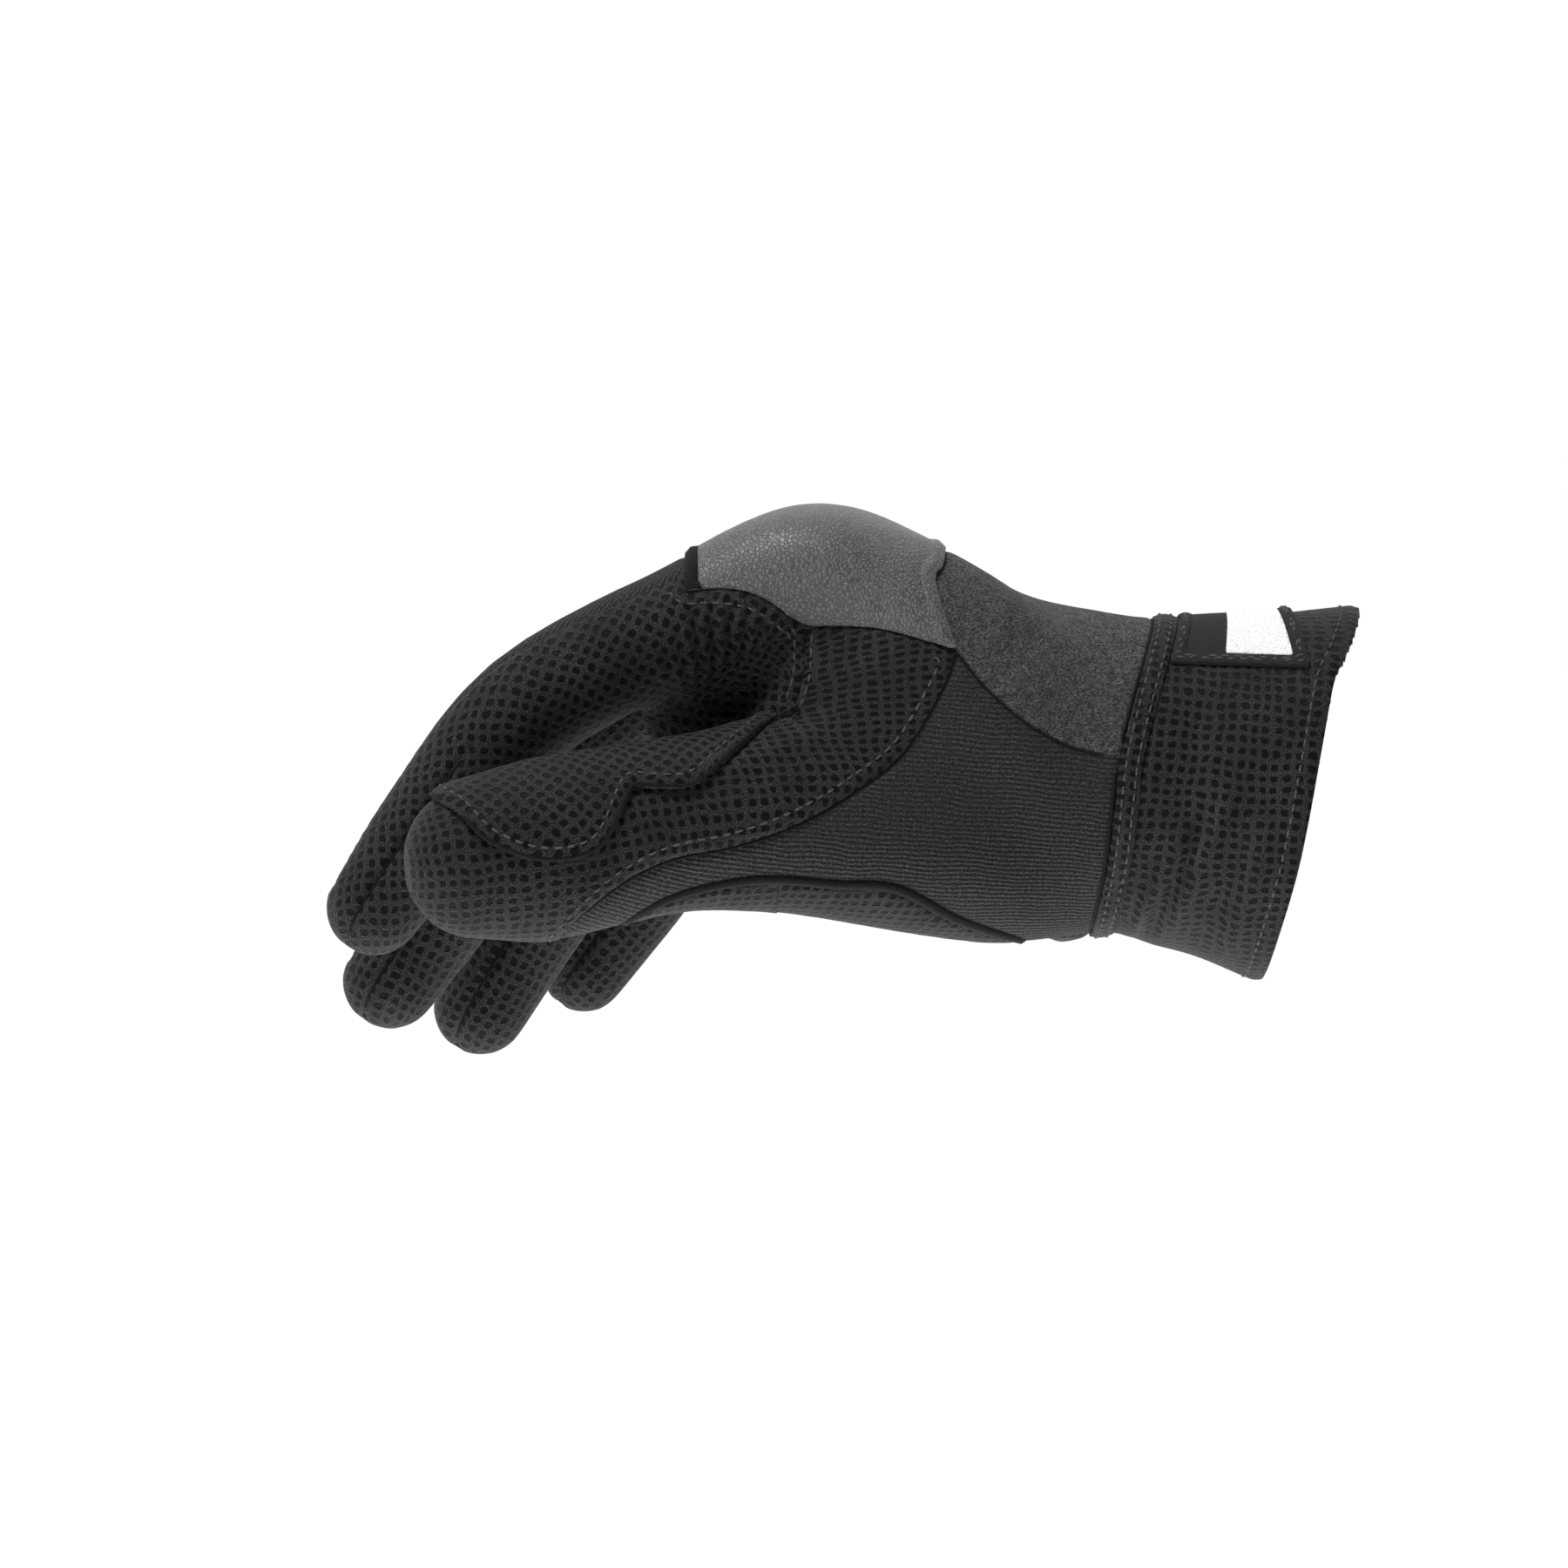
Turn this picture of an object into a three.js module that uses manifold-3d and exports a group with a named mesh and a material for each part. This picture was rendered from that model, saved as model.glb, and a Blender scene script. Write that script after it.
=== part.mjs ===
// Mechanic glove for a right hand, held in the form it takes on the hand.
// X runs from the fingertips to the open cuff, Y from the thumb to the little finger, Z up through the back.
// The origin is the centre of the cuff's mouth.

import * as THREE from 'three';
import { mergeVertices } from 'three/addons/utils/BufferGeometryUtils.js';
import Module from 'manifold-3d';

const wasm = await Module();
wasm.setup();

// Driving sizes, in millimetres
const REACH = 190;
const BREADTH = 90;
const HEIGHT = 104;
const FINGER_RADIUS = 10.6;
const THUMB_RADIUS = 15.4;
const WALL = 1.6;
const GAP = 0.3;
const TRIM = 1.0;
const WELT_WIDTH = 2.4;
const CUFF_BAND_WIDTH = 4.6;

// Fineness of the surfaces
const DIGIT_SIDES = 12;
const BODY_SIDES = 24;
const LINING_SHARE = 0.67;
const STEPS_PER_ROW = 2;
const TIP_RINGS = 2;
const SEAM_STEP = 7;

const FAR = 80;

const named = (columns, row) => Object.fromEntries(columns.map((name, i) => [name, row[i]]));
const table = (columns, rows) => rows.map((row) => named(columns, row));

// Sections of the cuff and palm: centre, half sizes, lean, roll of the back, skew in plan, squareness
const BODY_COLUMNS = ['x', 'y', 'z', 'w', 'h', 'lean', 'roll', 'skew', 'square'];
const BODY = table(BODY_COLUMNS, [
  [0.000, 0.000, 0.000, 0.378, 0.353, 0.256, 0.00, 0.00, 2.2],
  [-0.074, 0.000, 0.000, 0.361, 0.337, 0.240, 0.00, 0.00, 2.2],
  [-0.132, 0.000, 0.019, 0.344, 0.312, 0.210, 0.00, 0.00, 2.2],
  [-0.185, 0.000, 0.039, 0.339, 0.288, 0.200, 0.00, 0.00, 2.2],
  [-0.247, 0.000, 0.032, 0.367, 0.311, 0.100, 0.00, 0.00, 2.2],
  [-0.316, 0.000, 0.122, 0.444, 0.253, 0.040, 0.04, 0.00, 2.3],
  [-0.395, 0.000, 0.250, 0.483, 0.202, 0.000, 0.09, 0.04, 2.4],
  [-0.474, 0.000, 0.337, 0.494, 0.173, 0.000, 0.10, 0.10, 2.5],
  [-0.542, 0.000, 0.372, 0.483, 0.146, 0.000, 0.10, 0.16, 2.5],
  [-0.589, 0.000, 0.360, 0.467, 0.125, 0.000, 0.10, 0.19, 2.4],
  [-0.621, 0.000, 0.317, 0.433, 0.077, 0.000, 0.10, 0.20, 2.2],
]);

const DIGIT_COLUMNS = ['x', 'y', 'z', 'w', 'h'];

// Sections of each finger from inside the palm to the tip; half sizes are shares of the finger radius
const FINGERS = {
  index: table(DIGIT_COLUMNS, [
    [-0.242, -0.189, 0.150, 1.10, 1.10],
    [-0.400, -0.278, 0.317, 1.37, 1.37],
    [-0.532, -0.344, 0.385, 1.19, 1.23],
    [-0.640, -0.356, 0.312, 1.02, 1.06],
    [-0.795, -0.371, 0.156, 0.97, 1.03],
    [-0.892, -0.382, -0.062, 0.92, 0.96],
    [-0.948, -0.391, -0.208, 0.82, 0.84],
  ]),
  middle: table(DIGIT_COLUMNS, [
    [-0.242, -0.067, 0.150, 1.10, 1.10],
    [-0.405, -0.094, 0.327, 1.37, 1.37],
    [-0.542, -0.111, 0.394, 1.19, 1.23],
    [-0.640, -0.114, 0.275, 1.02, 1.06],
    [-0.782, -0.120, 0.070, 0.97, 1.03],
    [-0.874, -0.124, -0.180, 0.92, 0.96],
    [-0.938, -0.129, -0.348, 0.83, 0.85],
  ]),
  ring: table(DIGIT_COLUMNS, [
    [-0.242, 0.067, 0.140, 1.10, 1.10],
    [-0.389, 0.094, 0.308, 1.37, 1.37],
    [-0.516, 0.122, 0.365, 1.17, 1.21],
    [-0.600, 0.127, 0.224, 1.00, 1.04],
    [-0.708, 0.133, 0.000, 0.95, 1.01],
    [-0.796, 0.142, -0.235, 0.90, 0.94],
    [-0.852, 0.151, -0.406, 0.82, 0.84],
  ]),
  little: table(DIGIT_COLUMNS, [
    [-0.242, 0.178, 0.100, 1.05, 1.10],
    [-0.368, 0.267, 0.231, 1.37, 1.46],
    [-0.463, 0.333, 0.288, 1.11, 1.15],
    [-0.522, 0.349, 0.169, 0.91, 0.94],
    [-0.597, 0.371, 0.033, 0.87, 0.92],
    [-0.683, 0.393, -0.177, 0.82, 0.86],
    [-0.748, 0.411, -0.340, 0.75, 0.76],
  ]),
};

// Sections of the thumb, the heel of the hand and the fold in the thumb's fork, in shares of the thumb radius
const THUMB = table(DIGIT_COLUMNS, [
  [-0.232, -0.111, -0.045, 0.90, 1.46],
  [-0.312, -0.195, -0.050, 0.98, 1.55],
  [-0.395, -0.289, -0.048, 1.04, 1.45],
  [-0.547, -0.456, -0.048, 0.94, 1.14],
  [-0.663, -0.556, -0.069, 0.84, 1.01],
  [-0.772, -0.640, -0.107, 0.82, 1.04],
  [-0.843, -0.675, -0.122, 0.76, 0.90],
]);
const HEEL = table(DIGIT_COLUMNS, [
  [-0.232, 0.156, -0.010, 0.90, 1.40],
  [-0.347, 0.244, 0.015, 0.91, 1.38],
  [-0.442, 0.289, 0.135, 0.84, 0.97],
]);
const WEB = table(DIGIT_COLUMNS, [
  [-0.320, -0.310, 0.130, 0.75, 1.10],
  [-0.420, -0.390, 0.165, 0.75, 1.15],
  [-0.495, -0.430, 0.170, 0.62, 1.05],
  [-0.570, -0.420, 0.175, 0.45, 0.95],
  [-0.630, -0.405, 0.160, 0.36, 0.80],
]);

// Seams drawn on the side view, as shares of the reach along X and of the height along Z
const SEAM_COLUMNS = ['x', 'z'];
const SEAMS = {
  cuff: table(SEAM_COLUMNS, [
    [-0.150, 0.420],
    [-0.161, 0.318],
    [-0.183, 0.189],
    [-0.199, 0.076],
    [-0.205, -0.006],
    [-0.212, -0.127],
    [-0.223, -0.243],
    [-0.235, -0.360],
  ]),
  guardLow: table(SEAM_COLUMNS, [
    [-0.634, 0.371],
    [-0.602, 0.374],
    [-0.575, 0.368],
    [-0.552, 0.350],
    [-0.518, 0.309],
    [-0.485, 0.306],
    [-0.441, 0.300],
    [-0.397, 0.279],
    [-0.366, 0.262],
  ]),
  guardRear: table(SEAM_COLUMNS, [
    [-0.366, 0.262],
    [-0.375, 0.308],
    [-0.384, 0.356],
    [-0.388, 0.397],
    [-0.378, 0.430],
    [-0.368, 0.600],
  ]),
  backGusset: table(SEAM_COLUMNS, [
    [-0.366, 0.262],
    [-0.339, 0.204],
    [-0.308, 0.149],
    [-0.273, 0.107],
    [-0.242, 0.083],
    [-0.190, 0.064],
  ]),
  thumbEdge: table(SEAM_COLUMNS, [
    [-0.754, -0.251],
    [-0.714, -0.186],
    [-0.680, -0.144],
    [-0.642, -0.115],
    [-0.594, -0.098],
    [-0.548, -0.073],
    [-0.510, -0.042],
    [-0.472, -0.001],
    [-0.419, 0.075],
    [-0.379, 0.195],
    [-0.366, 0.262],
  ]),
  palm: table(SEAM_COLUMNS, [
    [-0.754, -0.300],
    [-0.698, -0.237],
    [-0.642, -0.186],
    [-0.564, -0.159],
    [-0.485, -0.168],
    [-0.428, -0.176],
    [-0.366, -0.233],
    [-0.309, -0.268],
    [-0.260, -0.290],
    [-0.200, -0.310],
  ]),
  saddleRear: table(SEAM_COLUMNS, [
    [-0.518, 0.309],
    [-0.518, 0.262],
    [-0.520, 0.207],
    [-0.531, 0.144],
    [-0.535, 0.080],
  ]),
  patch: table(SEAM_COLUMNS, [
    [-0.885, -0.010],
    [-0.859, -0.035],
    [-0.826, -0.089],
    [-0.773, -0.119],
    [-0.720, -0.097],
    [-0.692, -0.007],
  ]),
  patchRear: table(SEAM_COLUMNS, [
    [-0.687, 0.010],
    [-0.653, 0.006],
    [-0.624, 0.014],
    [-0.583, 0.075],
    [-0.545, 0.135],
    [-0.520, 0.150],
  ]),
};

// Folds in the inner side of the digits: share along the digit, depth and half width as shares of its radius
const FOLDS = table(['digit', 'at', 'depth', 'width'], [
  ['index', 0.60, 0.10, 0.30],
  ['index', 0.80, 0.08, 0.30],
  ['middle', 0.60, 0.10, 0.30],
  ['middle', 0.80, 0.08, 0.30],
  ['ring', 0.60, 0.10, 0.30],
  ['ring', 0.80, 0.08, 0.30],
  ['little', 0.60, 0.10, 0.30],
  ['little', 0.80, 0.08, 0.30],
  ['thumb', 0.77, 0.06, 0.40],
]);

// Front edge of the guard in plan, from the thumb side, as shares of the reach and the breadth
const GUARD_FRONT = table(['x', 'y'], [
  [-0.641, -1.00],
  [-0.636, -0.40],
  [-0.625, 0.00],
  [-0.570, 0.36],
  [-0.510, 1.00],
]);

// Back strips: edge and top as shares of the finger's half height, start along it, reach past its last row
const BACK_STRIP_AT = 0.72;
const BACK_STRIP_TOP = 1.9;
const BACK_STRIP_START = 0.34;
const BACK_STRIP_PAST = 0.45;
// Depths that divide the near side, seen from the thumb, from the far side
const SADDLE_DEPTH = -0.30 * BREADTH;
const THUMB_ZONE = 2.5;
// Overlap of the cuts of neighbouring pieces
const OVERCUT = 0.05;
// Place along the hand, from the guard's front edge, where the fingers part from the palm
const FINGER_PART = -4;
// Lines that close the pieces' outlines where no seam runs, as shares of the reach and the height
const LIMITS = {
  over: 0.60,
  under: -0.50,
  guardFront: -0.80,
  guardLow: 0.371,
  mouth: 0.20,
  wrist: -0.10,
  wristSeam: 0.06,
  wristLow: -0.33,
  thumbStart: -0.545,
  thumbTop: 0.30,
  thumbLow: -0.40,
  forkFront: -0.60,
  forkTop: 0.135,
  saddleFront: -0.665,
  saddleLow: 0.06,
  beyondTips: -1.1,
};
// Ends of the welt along the palm's seam
const PALM_WELT = { front: -0.70, rear: -0.235 };
// Ends of the thumb patch above its stitched edge
const PATCH_REAR_AT = -0.54;
const PATCH_FRONT_AT = -0.88;
const LABEL = { xLow: -0.142, xHigh: -0.014, zLow: 0.235, yHigh: 0.16 };

const power = (value, exponent) => Math.sign(value) * Math.abs(value) ** exponent;

/** Closed solid through rings of equal point counts, with a point closing each end. */
function loft(rings) {
  const count = rings[0].length;
  const positions = rings.flat().flatMap((p) => [p.x, p.y, p.z]);
  const centre = (ring) => ring.reduce((sum, p) => sum.add(p), new THREE.Vector3()).divideScalar(count);
  const startCentre = rings.length * count;
  const endCentre = startCentre + 1;
  for (const end of [centre(rings[0]), centre(rings[rings.length - 1])]) {
    positions.push(end.x, end.y, end.z);
  }
  const index = [];
  const lastRing = (rings.length - 1) * count;
  for (let j = 0; j < count; j += 1) {
    const k = (j + 1) % count;
    for (let i = 0; i < rings.length - 1; i += 1) {
      const a = i * count;
      const b = a + count;
      index.push(a + j, a + k, b + j, a + k, b + k, b + j);
    }
    index.push(startCentre, k, j, endCentre, lastRing + j, lastRing + k);
  }
  const geometry = new THREE.BufferGeometry();
  geometry.setAttribute('position', new THREE.Float32BufferAttribute(positions, 3));
  geometry.setIndex(index);
  return solid(geometry);
}

/** Manifold solid of a closed geometry, turned outward. */
function solid(geometry) {
  const bare = geometry.clone();
  bare.deleteAttribute('normal');
  bare.deleteAttribute('uv');
  const merged = mergeVertices(bare, 1e-5);
  const points = merged.attributes.position.array;
  const index = Array.from(merged.index.array);
  let volume = 0;
  for (let i = 0; i < index.length; i += 3) {
    const [a, b, c] = [0, 1, 2].map((k) => new THREE.Vector3().fromArray(points, index[i + k] * 3));
    volume += a.dot(b.cross(c));
  }
  if (volume < 0) {
    for (let i = 0; i < index.length; i += 3) {
      [index[i], index[i + 1]] = [index[i + 1], index[i]];
    }
  }
  return new wasm.Manifold(new wasm.Mesh({
    numProp: 3,
    vertProperties: new Float32Array(points),
    triVerts: new Uint32Array(index),
  }));
}

/** Values between table rows on a smooth curve, at steps per row. */
function smoothRows(rows, columns, stepsPerRow) {
  const at = (i) => rows[Math.min(rows.length - 1, Math.max(0, i))];
  const total = (rows.length - 1) * stepsPerRow;
  return Array.from({ length: total + 1 }, (_, s) => {
    const i = Math.min(rows.length - 2, Math.floor(s / stepsPerRow));
    const t = s / stepsPerRow - i;
    const blend = (name) => {
      const [a, b, c, d] = [at(i - 1)[name], at(i)[name], at(i + 1)[name], at(i + 2)[name]];
      return b + 0.5 * t * (c - a + t * (2 * a - 5 * b + 4 * c - d + t * (3 * (b - c) + d - a)));
    };
    return { share: s / total, ...Object.fromEntries(columns.map((name) => [name, blend(name)])) };
  });
}

/** Number of sides of a section: fewer on the inner faces of the cloth. */
function sidesFor(count, offset) {
  return offset < 0 ? 2 * Math.round((count * LINING_SHARE) / 2) : count;
}

/** Cuff and palm, grown by an offset; an inward offset runs out through the mouth. */
function bodyForm(offset) {
  const sections = smoothRows(BODY, BODY_COLUMNS, STEPS_PER_ROW);
  const sides = sidesFor(BODY_SIDES, offset);
  const ring = (s, shift, shrink) => Array.from({ length: sides }, (_, j) => {
    const angle = (j / sides) * 2 * Math.PI;
    const across = (s.w * BREADTH + offset) * shrink * power(Math.cos(angle), 2 / s.square);
    const up = (s.h * HEIGHT + offset) * shrink * power(Math.sin(angle), 2 / s.square);
    const y = s.y * BREADTH + across;
    const x = s.x * REACH + shift + s.lean * up + s.skew * (y + BREADTH / 2);
    return new THREE.Vector3(x, y, s.z * HEIGHT + up - s.roll * across);
  });
  const first = sections[0];
  const last = sections[sections.length - 1];
  const rings = sections.map((s) => ring(s, 0, 1));
  if (offset < 0) {
    rings.unshift(ring(first, 2 * WALL, 1));
  }
  rings.push(ring(last, -0.02 * REACH - 0.5 * offset, 0.6));
  return loft(rings);
}

/** Centreline sections of a digit with their local frames. */
function digitSections(rows, radius) {
  const sections = smoothRows(rows, DIGIT_COLUMNS, STEPS_PER_ROW).map((s) => ({
    share: s.share,
    centre: new THREE.Vector3(s.x * REACH, s.y * BREADTH, s.z * HEIGHT),
    w: s.w * radius,
    h: s.h * radius,
  }));
  sections.forEach((s, i) => {
    const before = sections[Math.max(0, i - 1)].centre;
    const after = sections[Math.min(sections.length - 1, i + 1)].centre;
    s.along = after.clone().sub(before).normalize();
    s.side = new THREE.Vector3(0, 1, 0).addScaledVector(s.along, -s.along.y).normalize();
    s.up = s.side.clone().cross(s.along).normalize();
    if (s.up.z < 0) {
      s.up.negate();
    }
  });
  return sections;
}

/** Finger, thumb or pad, grown by an offset and closed by a dome at the tip. */
function digitForm(rows, radius, offset, name) {
  const folds = FOLDS.filter((fold) => fold.digit === name);
  const sections = digitSections(rows, radius);
  const sides = sidesFor(DIGIT_SIDES, offset);
  const ring = (s, shift, shrink) => Array.from({ length: sides }, (_, j) => {
    const angle = (j / sides) * 2 * Math.PI;
    const inner = Math.max(0, -Math.sin(angle));
    const pressed = folds.reduce((sum, f) => {
      const away = (s.share - f.at) * sections.length / STEPS_PER_ROW / (f.width * 2);
      return sum + f.depth * Math.exp(-away * away);
    }, 0);
    const across = (s.w + offset) * shrink * Math.cos(angle);
    const up = (s.h * (1 - pressed * inner) + offset) * shrink * Math.sin(angle);
    const middle = s.centre.clone().addScaledVector(s.along, shift);
    return middle.addScaledVector(s.side, across).addScaledVector(s.up, up);
  });
  const rings = sections.map((s) => ring(s, 0, 1));
  const last = sections[sections.length - 1];
  const dome = (last.w + last.h) / 2 + offset;
  for (let k = 1; k <= TIP_RINGS; k += 1) {
    const angle = (k / (TIP_RINGS + 0.6)) * (Math.PI / 2);
    rings.push(ring(last, dome * Math.sin(angle), Math.cos(angle)));
  }
  return loft(rings);
}

/** The whole glove's form, grown by an offset. */
function form(offset) {
  let whole = bodyForm(offset);
  for (const [name, rows] of Object.entries(FINGERS)) {
    whole = whole.add(digitForm(rows, FINGER_RADIUS, offset, name));
  }
  whole = whole.add(digitForm(THUMB, THUMB_RADIUS, offset, 'thumb'));
  whole = whole.add(digitForm(HEEL, THUMB_RADIUS, offset, 'heel'));
  return whole.add(digitForm(WEB, THUMB_RADIUS, offset, 'web'));
}

/** Seam as smooth side-view points, in millimetres. */
function seam(rows) {
  const points = rows.map((row) => new THREE.Vector2(row.x * REACH, row.z * HEIGHT));
  const curve = new THREE.SplineCurve(points);
  return curve.getSpacedPoints(Math.max(2, Math.round(curve.getLength() / SEAM_STEP)));
}

/** Outline moved inward by a distance at every corner. */
function insetOutline(outline, distance) {
  const turn = THREE.ShapeUtils.area(outline) < 0 ? -1 : 1;
  const count = outline.length;
  return outline.map((p, i) => {
    const into = p.clone().sub(outline[(i + count - 1) % count]).normalize();
    const out = outline[(i + 1) % count].clone().sub(p).normalize();
    const normals = [into, out].map((v) => new THREE.Vector2(-v.y, v.x).multiplyScalar(turn));
    const middle = normals[0].clone().add(normals[1]).normalize();
    const reach = distance / Math.max(0.4, middle.dot(normals[0]));
    return p.clone().addScaledVector(middle, reach);
  });
}

/** Straight block across the hand over a side-view outline, between two depths. */
function block(outline, yLow, yHigh) {
  const options = { depth: yHigh - yLow, bevelEnabled: false };
  const geometry = new THREE.ExtrudeGeometry(new THREE.Shape(outline), options);
  geometry.rotateX(Math.PI / 2);
  geometry.translate(0, yHigh, 0);
  return solid(geometry);
}

/** A region of the surface: the part cut out of its neighbours, and the smaller part that the piece keeps. */
function region(outline, yLow, yHigh) {
  const clean = outline.filter((p, i) => p.distanceTo(outline[(i + 1) % outline.length]) > 0.05);
  return {
    full: block(insetOutline(clean, -OVERCUT), yLow, yHigh),
    kept: block(insetOutline(clean, GAP), yLow + GAP, yHigh - GAP),
  };
}

/** Upright block over an outline in plan. */
function planBlock(outline) {
  const options = { depth: 2 * FAR, bevelEnabled: false };
  const geometry = new THREE.ExtrudeGeometry(new THREE.Shape(outline), options);
  geometry.translate(0, 0, -FAR);
  return solid(geometry);
}

/** The side of the hand seen from the thumb, bounded by the thumb's centreline in plan. */
function nearSide(offset) {
  const middle = THUMB.map((row) => new THREE.Vector2(row.x * REACH, row.y * BREADTH + offset));
  const first = middle[0];
  const last = middle[middle.length - 1];
  return planBlock([
    new THREE.Vector2(FAR, first.y),
    ...middle,
    new THREE.Vector2(-3 * FAR, last.y),
    new THREE.Vector2(-3 * FAR, -2 * FAR),
    new THREE.Vector2(FAR, -2 * FAR),
  ]);
}

/** Plan block behind the guard's front edge, moved along the hand and up to a depth behind it. */
function behindGuardFront(shift, depth) {
  const points = GUARD_FRONT.map((row) => new THREE.Vector2(row.x * REACH + shift, row.y * BREADTH));
  const edge = new THREE.SplineCurve(points).getSpacedPoints(3 * points.length);
  return planBlock([...edge, ...edge.map((p) => new THREE.Vector2(p.x + depth, p.y)).reverse()]);
}

/** A region kept to the near side. */
function nearRegion(outline) {
  const whole = region(outline, -FAR, FAR);
  return { full: whole.full.intersect(nearSide(0)), kept: whole.kept.intersect(nearSide(-GAP)) };
}

/** Narrow band along a side-view line. */
function band(line, width, yLow, yHigh) {
  const sides = [1, -1].map((sign) => line.map((p, i) => {
    const along = line[Math.min(line.length - 1, i + 1)].clone().sub(line[Math.max(0, i - 1)]).normalize();
    return p.clone().addScaledVector(new THREE.Vector2(-along.y, along.x), (sign * width) / 2);
  }));
  return block([...sides[0], ...sides[1].reverse()], yLow, yHigh);
}

const v2 = (x, z) => new THREE.Vector2(x * REACH, z * HEIGHT);
const reversed = (points) => points.slice().reverse();

const line = Object.fromEntries(Object.entries(SEAMS).map(([name, rows]) => [name, seam(rows)]));

/** Side-view outline over the back of a finger, from its strip's edge upward. */
function backOutline(name) {
  const sections = digitSections(FINGERS[name], FINGER_RADIUS).filter((s) => s.share > BACK_STRIP_START);
  const at = (s, share) => {
    const p = s.centre.clone().addScaledVector(s.up, s.h * share);
    return new THREE.Vector2(p.x, p.z);
  };
  const last = sections[sections.length - 1];
  const onward = new THREE.Vector2(last.along.x, last.along.z).multiplyScalar(last.h * BACK_STRIP_PAST);
  const edgeAt = (share) => [...sections.map((s) => at(s, share)), at(last, share).add(onward)];
  return [...edgeAt(BACK_STRIP_AT), ...reversed(edgeAt(BACK_STRIP_TOP))];
}

/** Depths between which a finger lies, halfway to its neighbours where the fingers part. */
function depthsOf(name) {
  const middle = (rows) => ((rows[3].y + rows[4].y) / 2) * BREADTH;
  const order = Object.values(FINGERS);
  const i = order.indexOf(FINGERS[name]);
  return [
    i === 0 ? -FAR : (middle(order[i - 1]) + middle(order[i])) / 2,
    i === order.length - 1 ? FAR : (middle(order[i]) + middle(order[i + 1])) / 2,
  ];
}

/** Front of a finger, from where the fingers part to the tip. */
function fingerFront(name) {
  const [low, high] = depthsOf(name);
  const zone = (shift, grow) => {
    const outline = [
      v2(0, LIMITS.under),
      v2(0, LIMITS.over),
      v2(LIMITS.beyondTips, LIMITS.over),
      v2(LIMITS.beyondTips, LIMITS.under),
    ];
    return block(outline, low - grow, high + grow).subtract(behindGuardFront(FINGER_PART + shift, 2 * REACH));
  };
  return { full: zone(OVERCUT, OVERCUT), kept: zone(-GAP, -GAP) };
}

const thumbZone = (offset) => digitForm(THUMB, THUMB_RADIUS, offset, 'zone');

const REGIONS = {
  cuff: () => region([
    ...line.cuff,
    v2(LIMITS.mouth, LIMITS.under),
    v2(LIMITS.mouth, LIMITS.over),
  ], -FAR, FAR),
  knuckle_guard: () => {
    const whole = region([
      v2(LIMITS.guardFront, LIMITS.guardLow),
      ...line.guardLow,
      ...line.guardRear.slice(1),
      v2(LIMITS.guardFront, LIMITS.over),
    ], -FAR, FAR);
    return {
      full: whole.full.intersect(behindGuardFront(0, REACH)),
      kept: whole.kept.intersect(behindGuardFront(GAP, REACH)),
    };
  },
  back_panel: () => region([
    ...reversed(line.guardRear),
    ...line.backGusset.slice(1),
    v2(LIMITS.wrist, LIMITS.wristSeam),
    v2(LIMITS.wrist, LIMITS.over),
  ], -FAR, FAR),
  index_back: () => region(backOutline('index'), ...depthsOf('index')),
  middle_back: () => region(backOutline('middle'), ...depthsOf('middle')),
  ring_back: () => region(backOutline('ring'), ...depthsOf('ring')),
  little_back: () => region(backOutline('little'), ...depthsOf('little')),
  side_gusset: () => nearRegion([
    ...line.thumbEdge,
    ...line.backGusset.slice(1),
    v2(LIMITS.wrist, LIMITS.wristSeam),
    v2(LIMITS.wrist, LIMITS.wristLow),
    ...reversed(line.palm),
  ]),
  thumb_panel: () => {
    const behind = nearRegion([
      ...line.guardLow.filter((p) => p.x > line.saddleRear[0].x),
      ...reversed(line.thumbEdge).slice(1).filter((p) => p.x > LIMITS.forkFront * REACH),
      v2(LIMITS.forkFront, 0),
      v2(LIMITS.thumbStart, LIMITS.forkTop),
      ...reversed(line.saddleRear.filter((p) => p.y > (LIMITS.forkTop + 0.01) * HEIGHT)),
    ]);
    const ahead = block([
      v2(LIMITS.thumbStart, LIMITS.thumbTop),
      v2(LIMITS.thumbStart, LIMITS.thumbLow),
      v2(LIMITS.beyondTips, LIMITS.thumbLow),
      v2(LIMITS.beyondTips, LIMITS.thumbTop),
    ], -FAR, FAR);
    return {
      full: behind.full.add(thumbZone(THUMB_ZONE).intersect(ahead)),
      kept: behind.kept.add(thumbZone(THUMB_ZONE - GAP).intersect(ahead)),
    };
  },
  thumb_saddle: () => region([
    ...line.guardLow.filter((p) => p.x < line.saddleRear[0].x + 1),
    ...line.saddleRear,
    v2(LIMITS.forkFront, LIMITS.saddleLow),
    v2(LIMITS.saddleFront, LIMITS.saddleLow + 0.04),
  ], -FAR, SADDLE_DEPTH),
  index_front: () => fingerFront('index'),
  middle_front: () => fingerFront('middle'),
  ring_front: () => fingerFront('ring'),
  little_front: () => fingerFront('little'),
};

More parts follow.
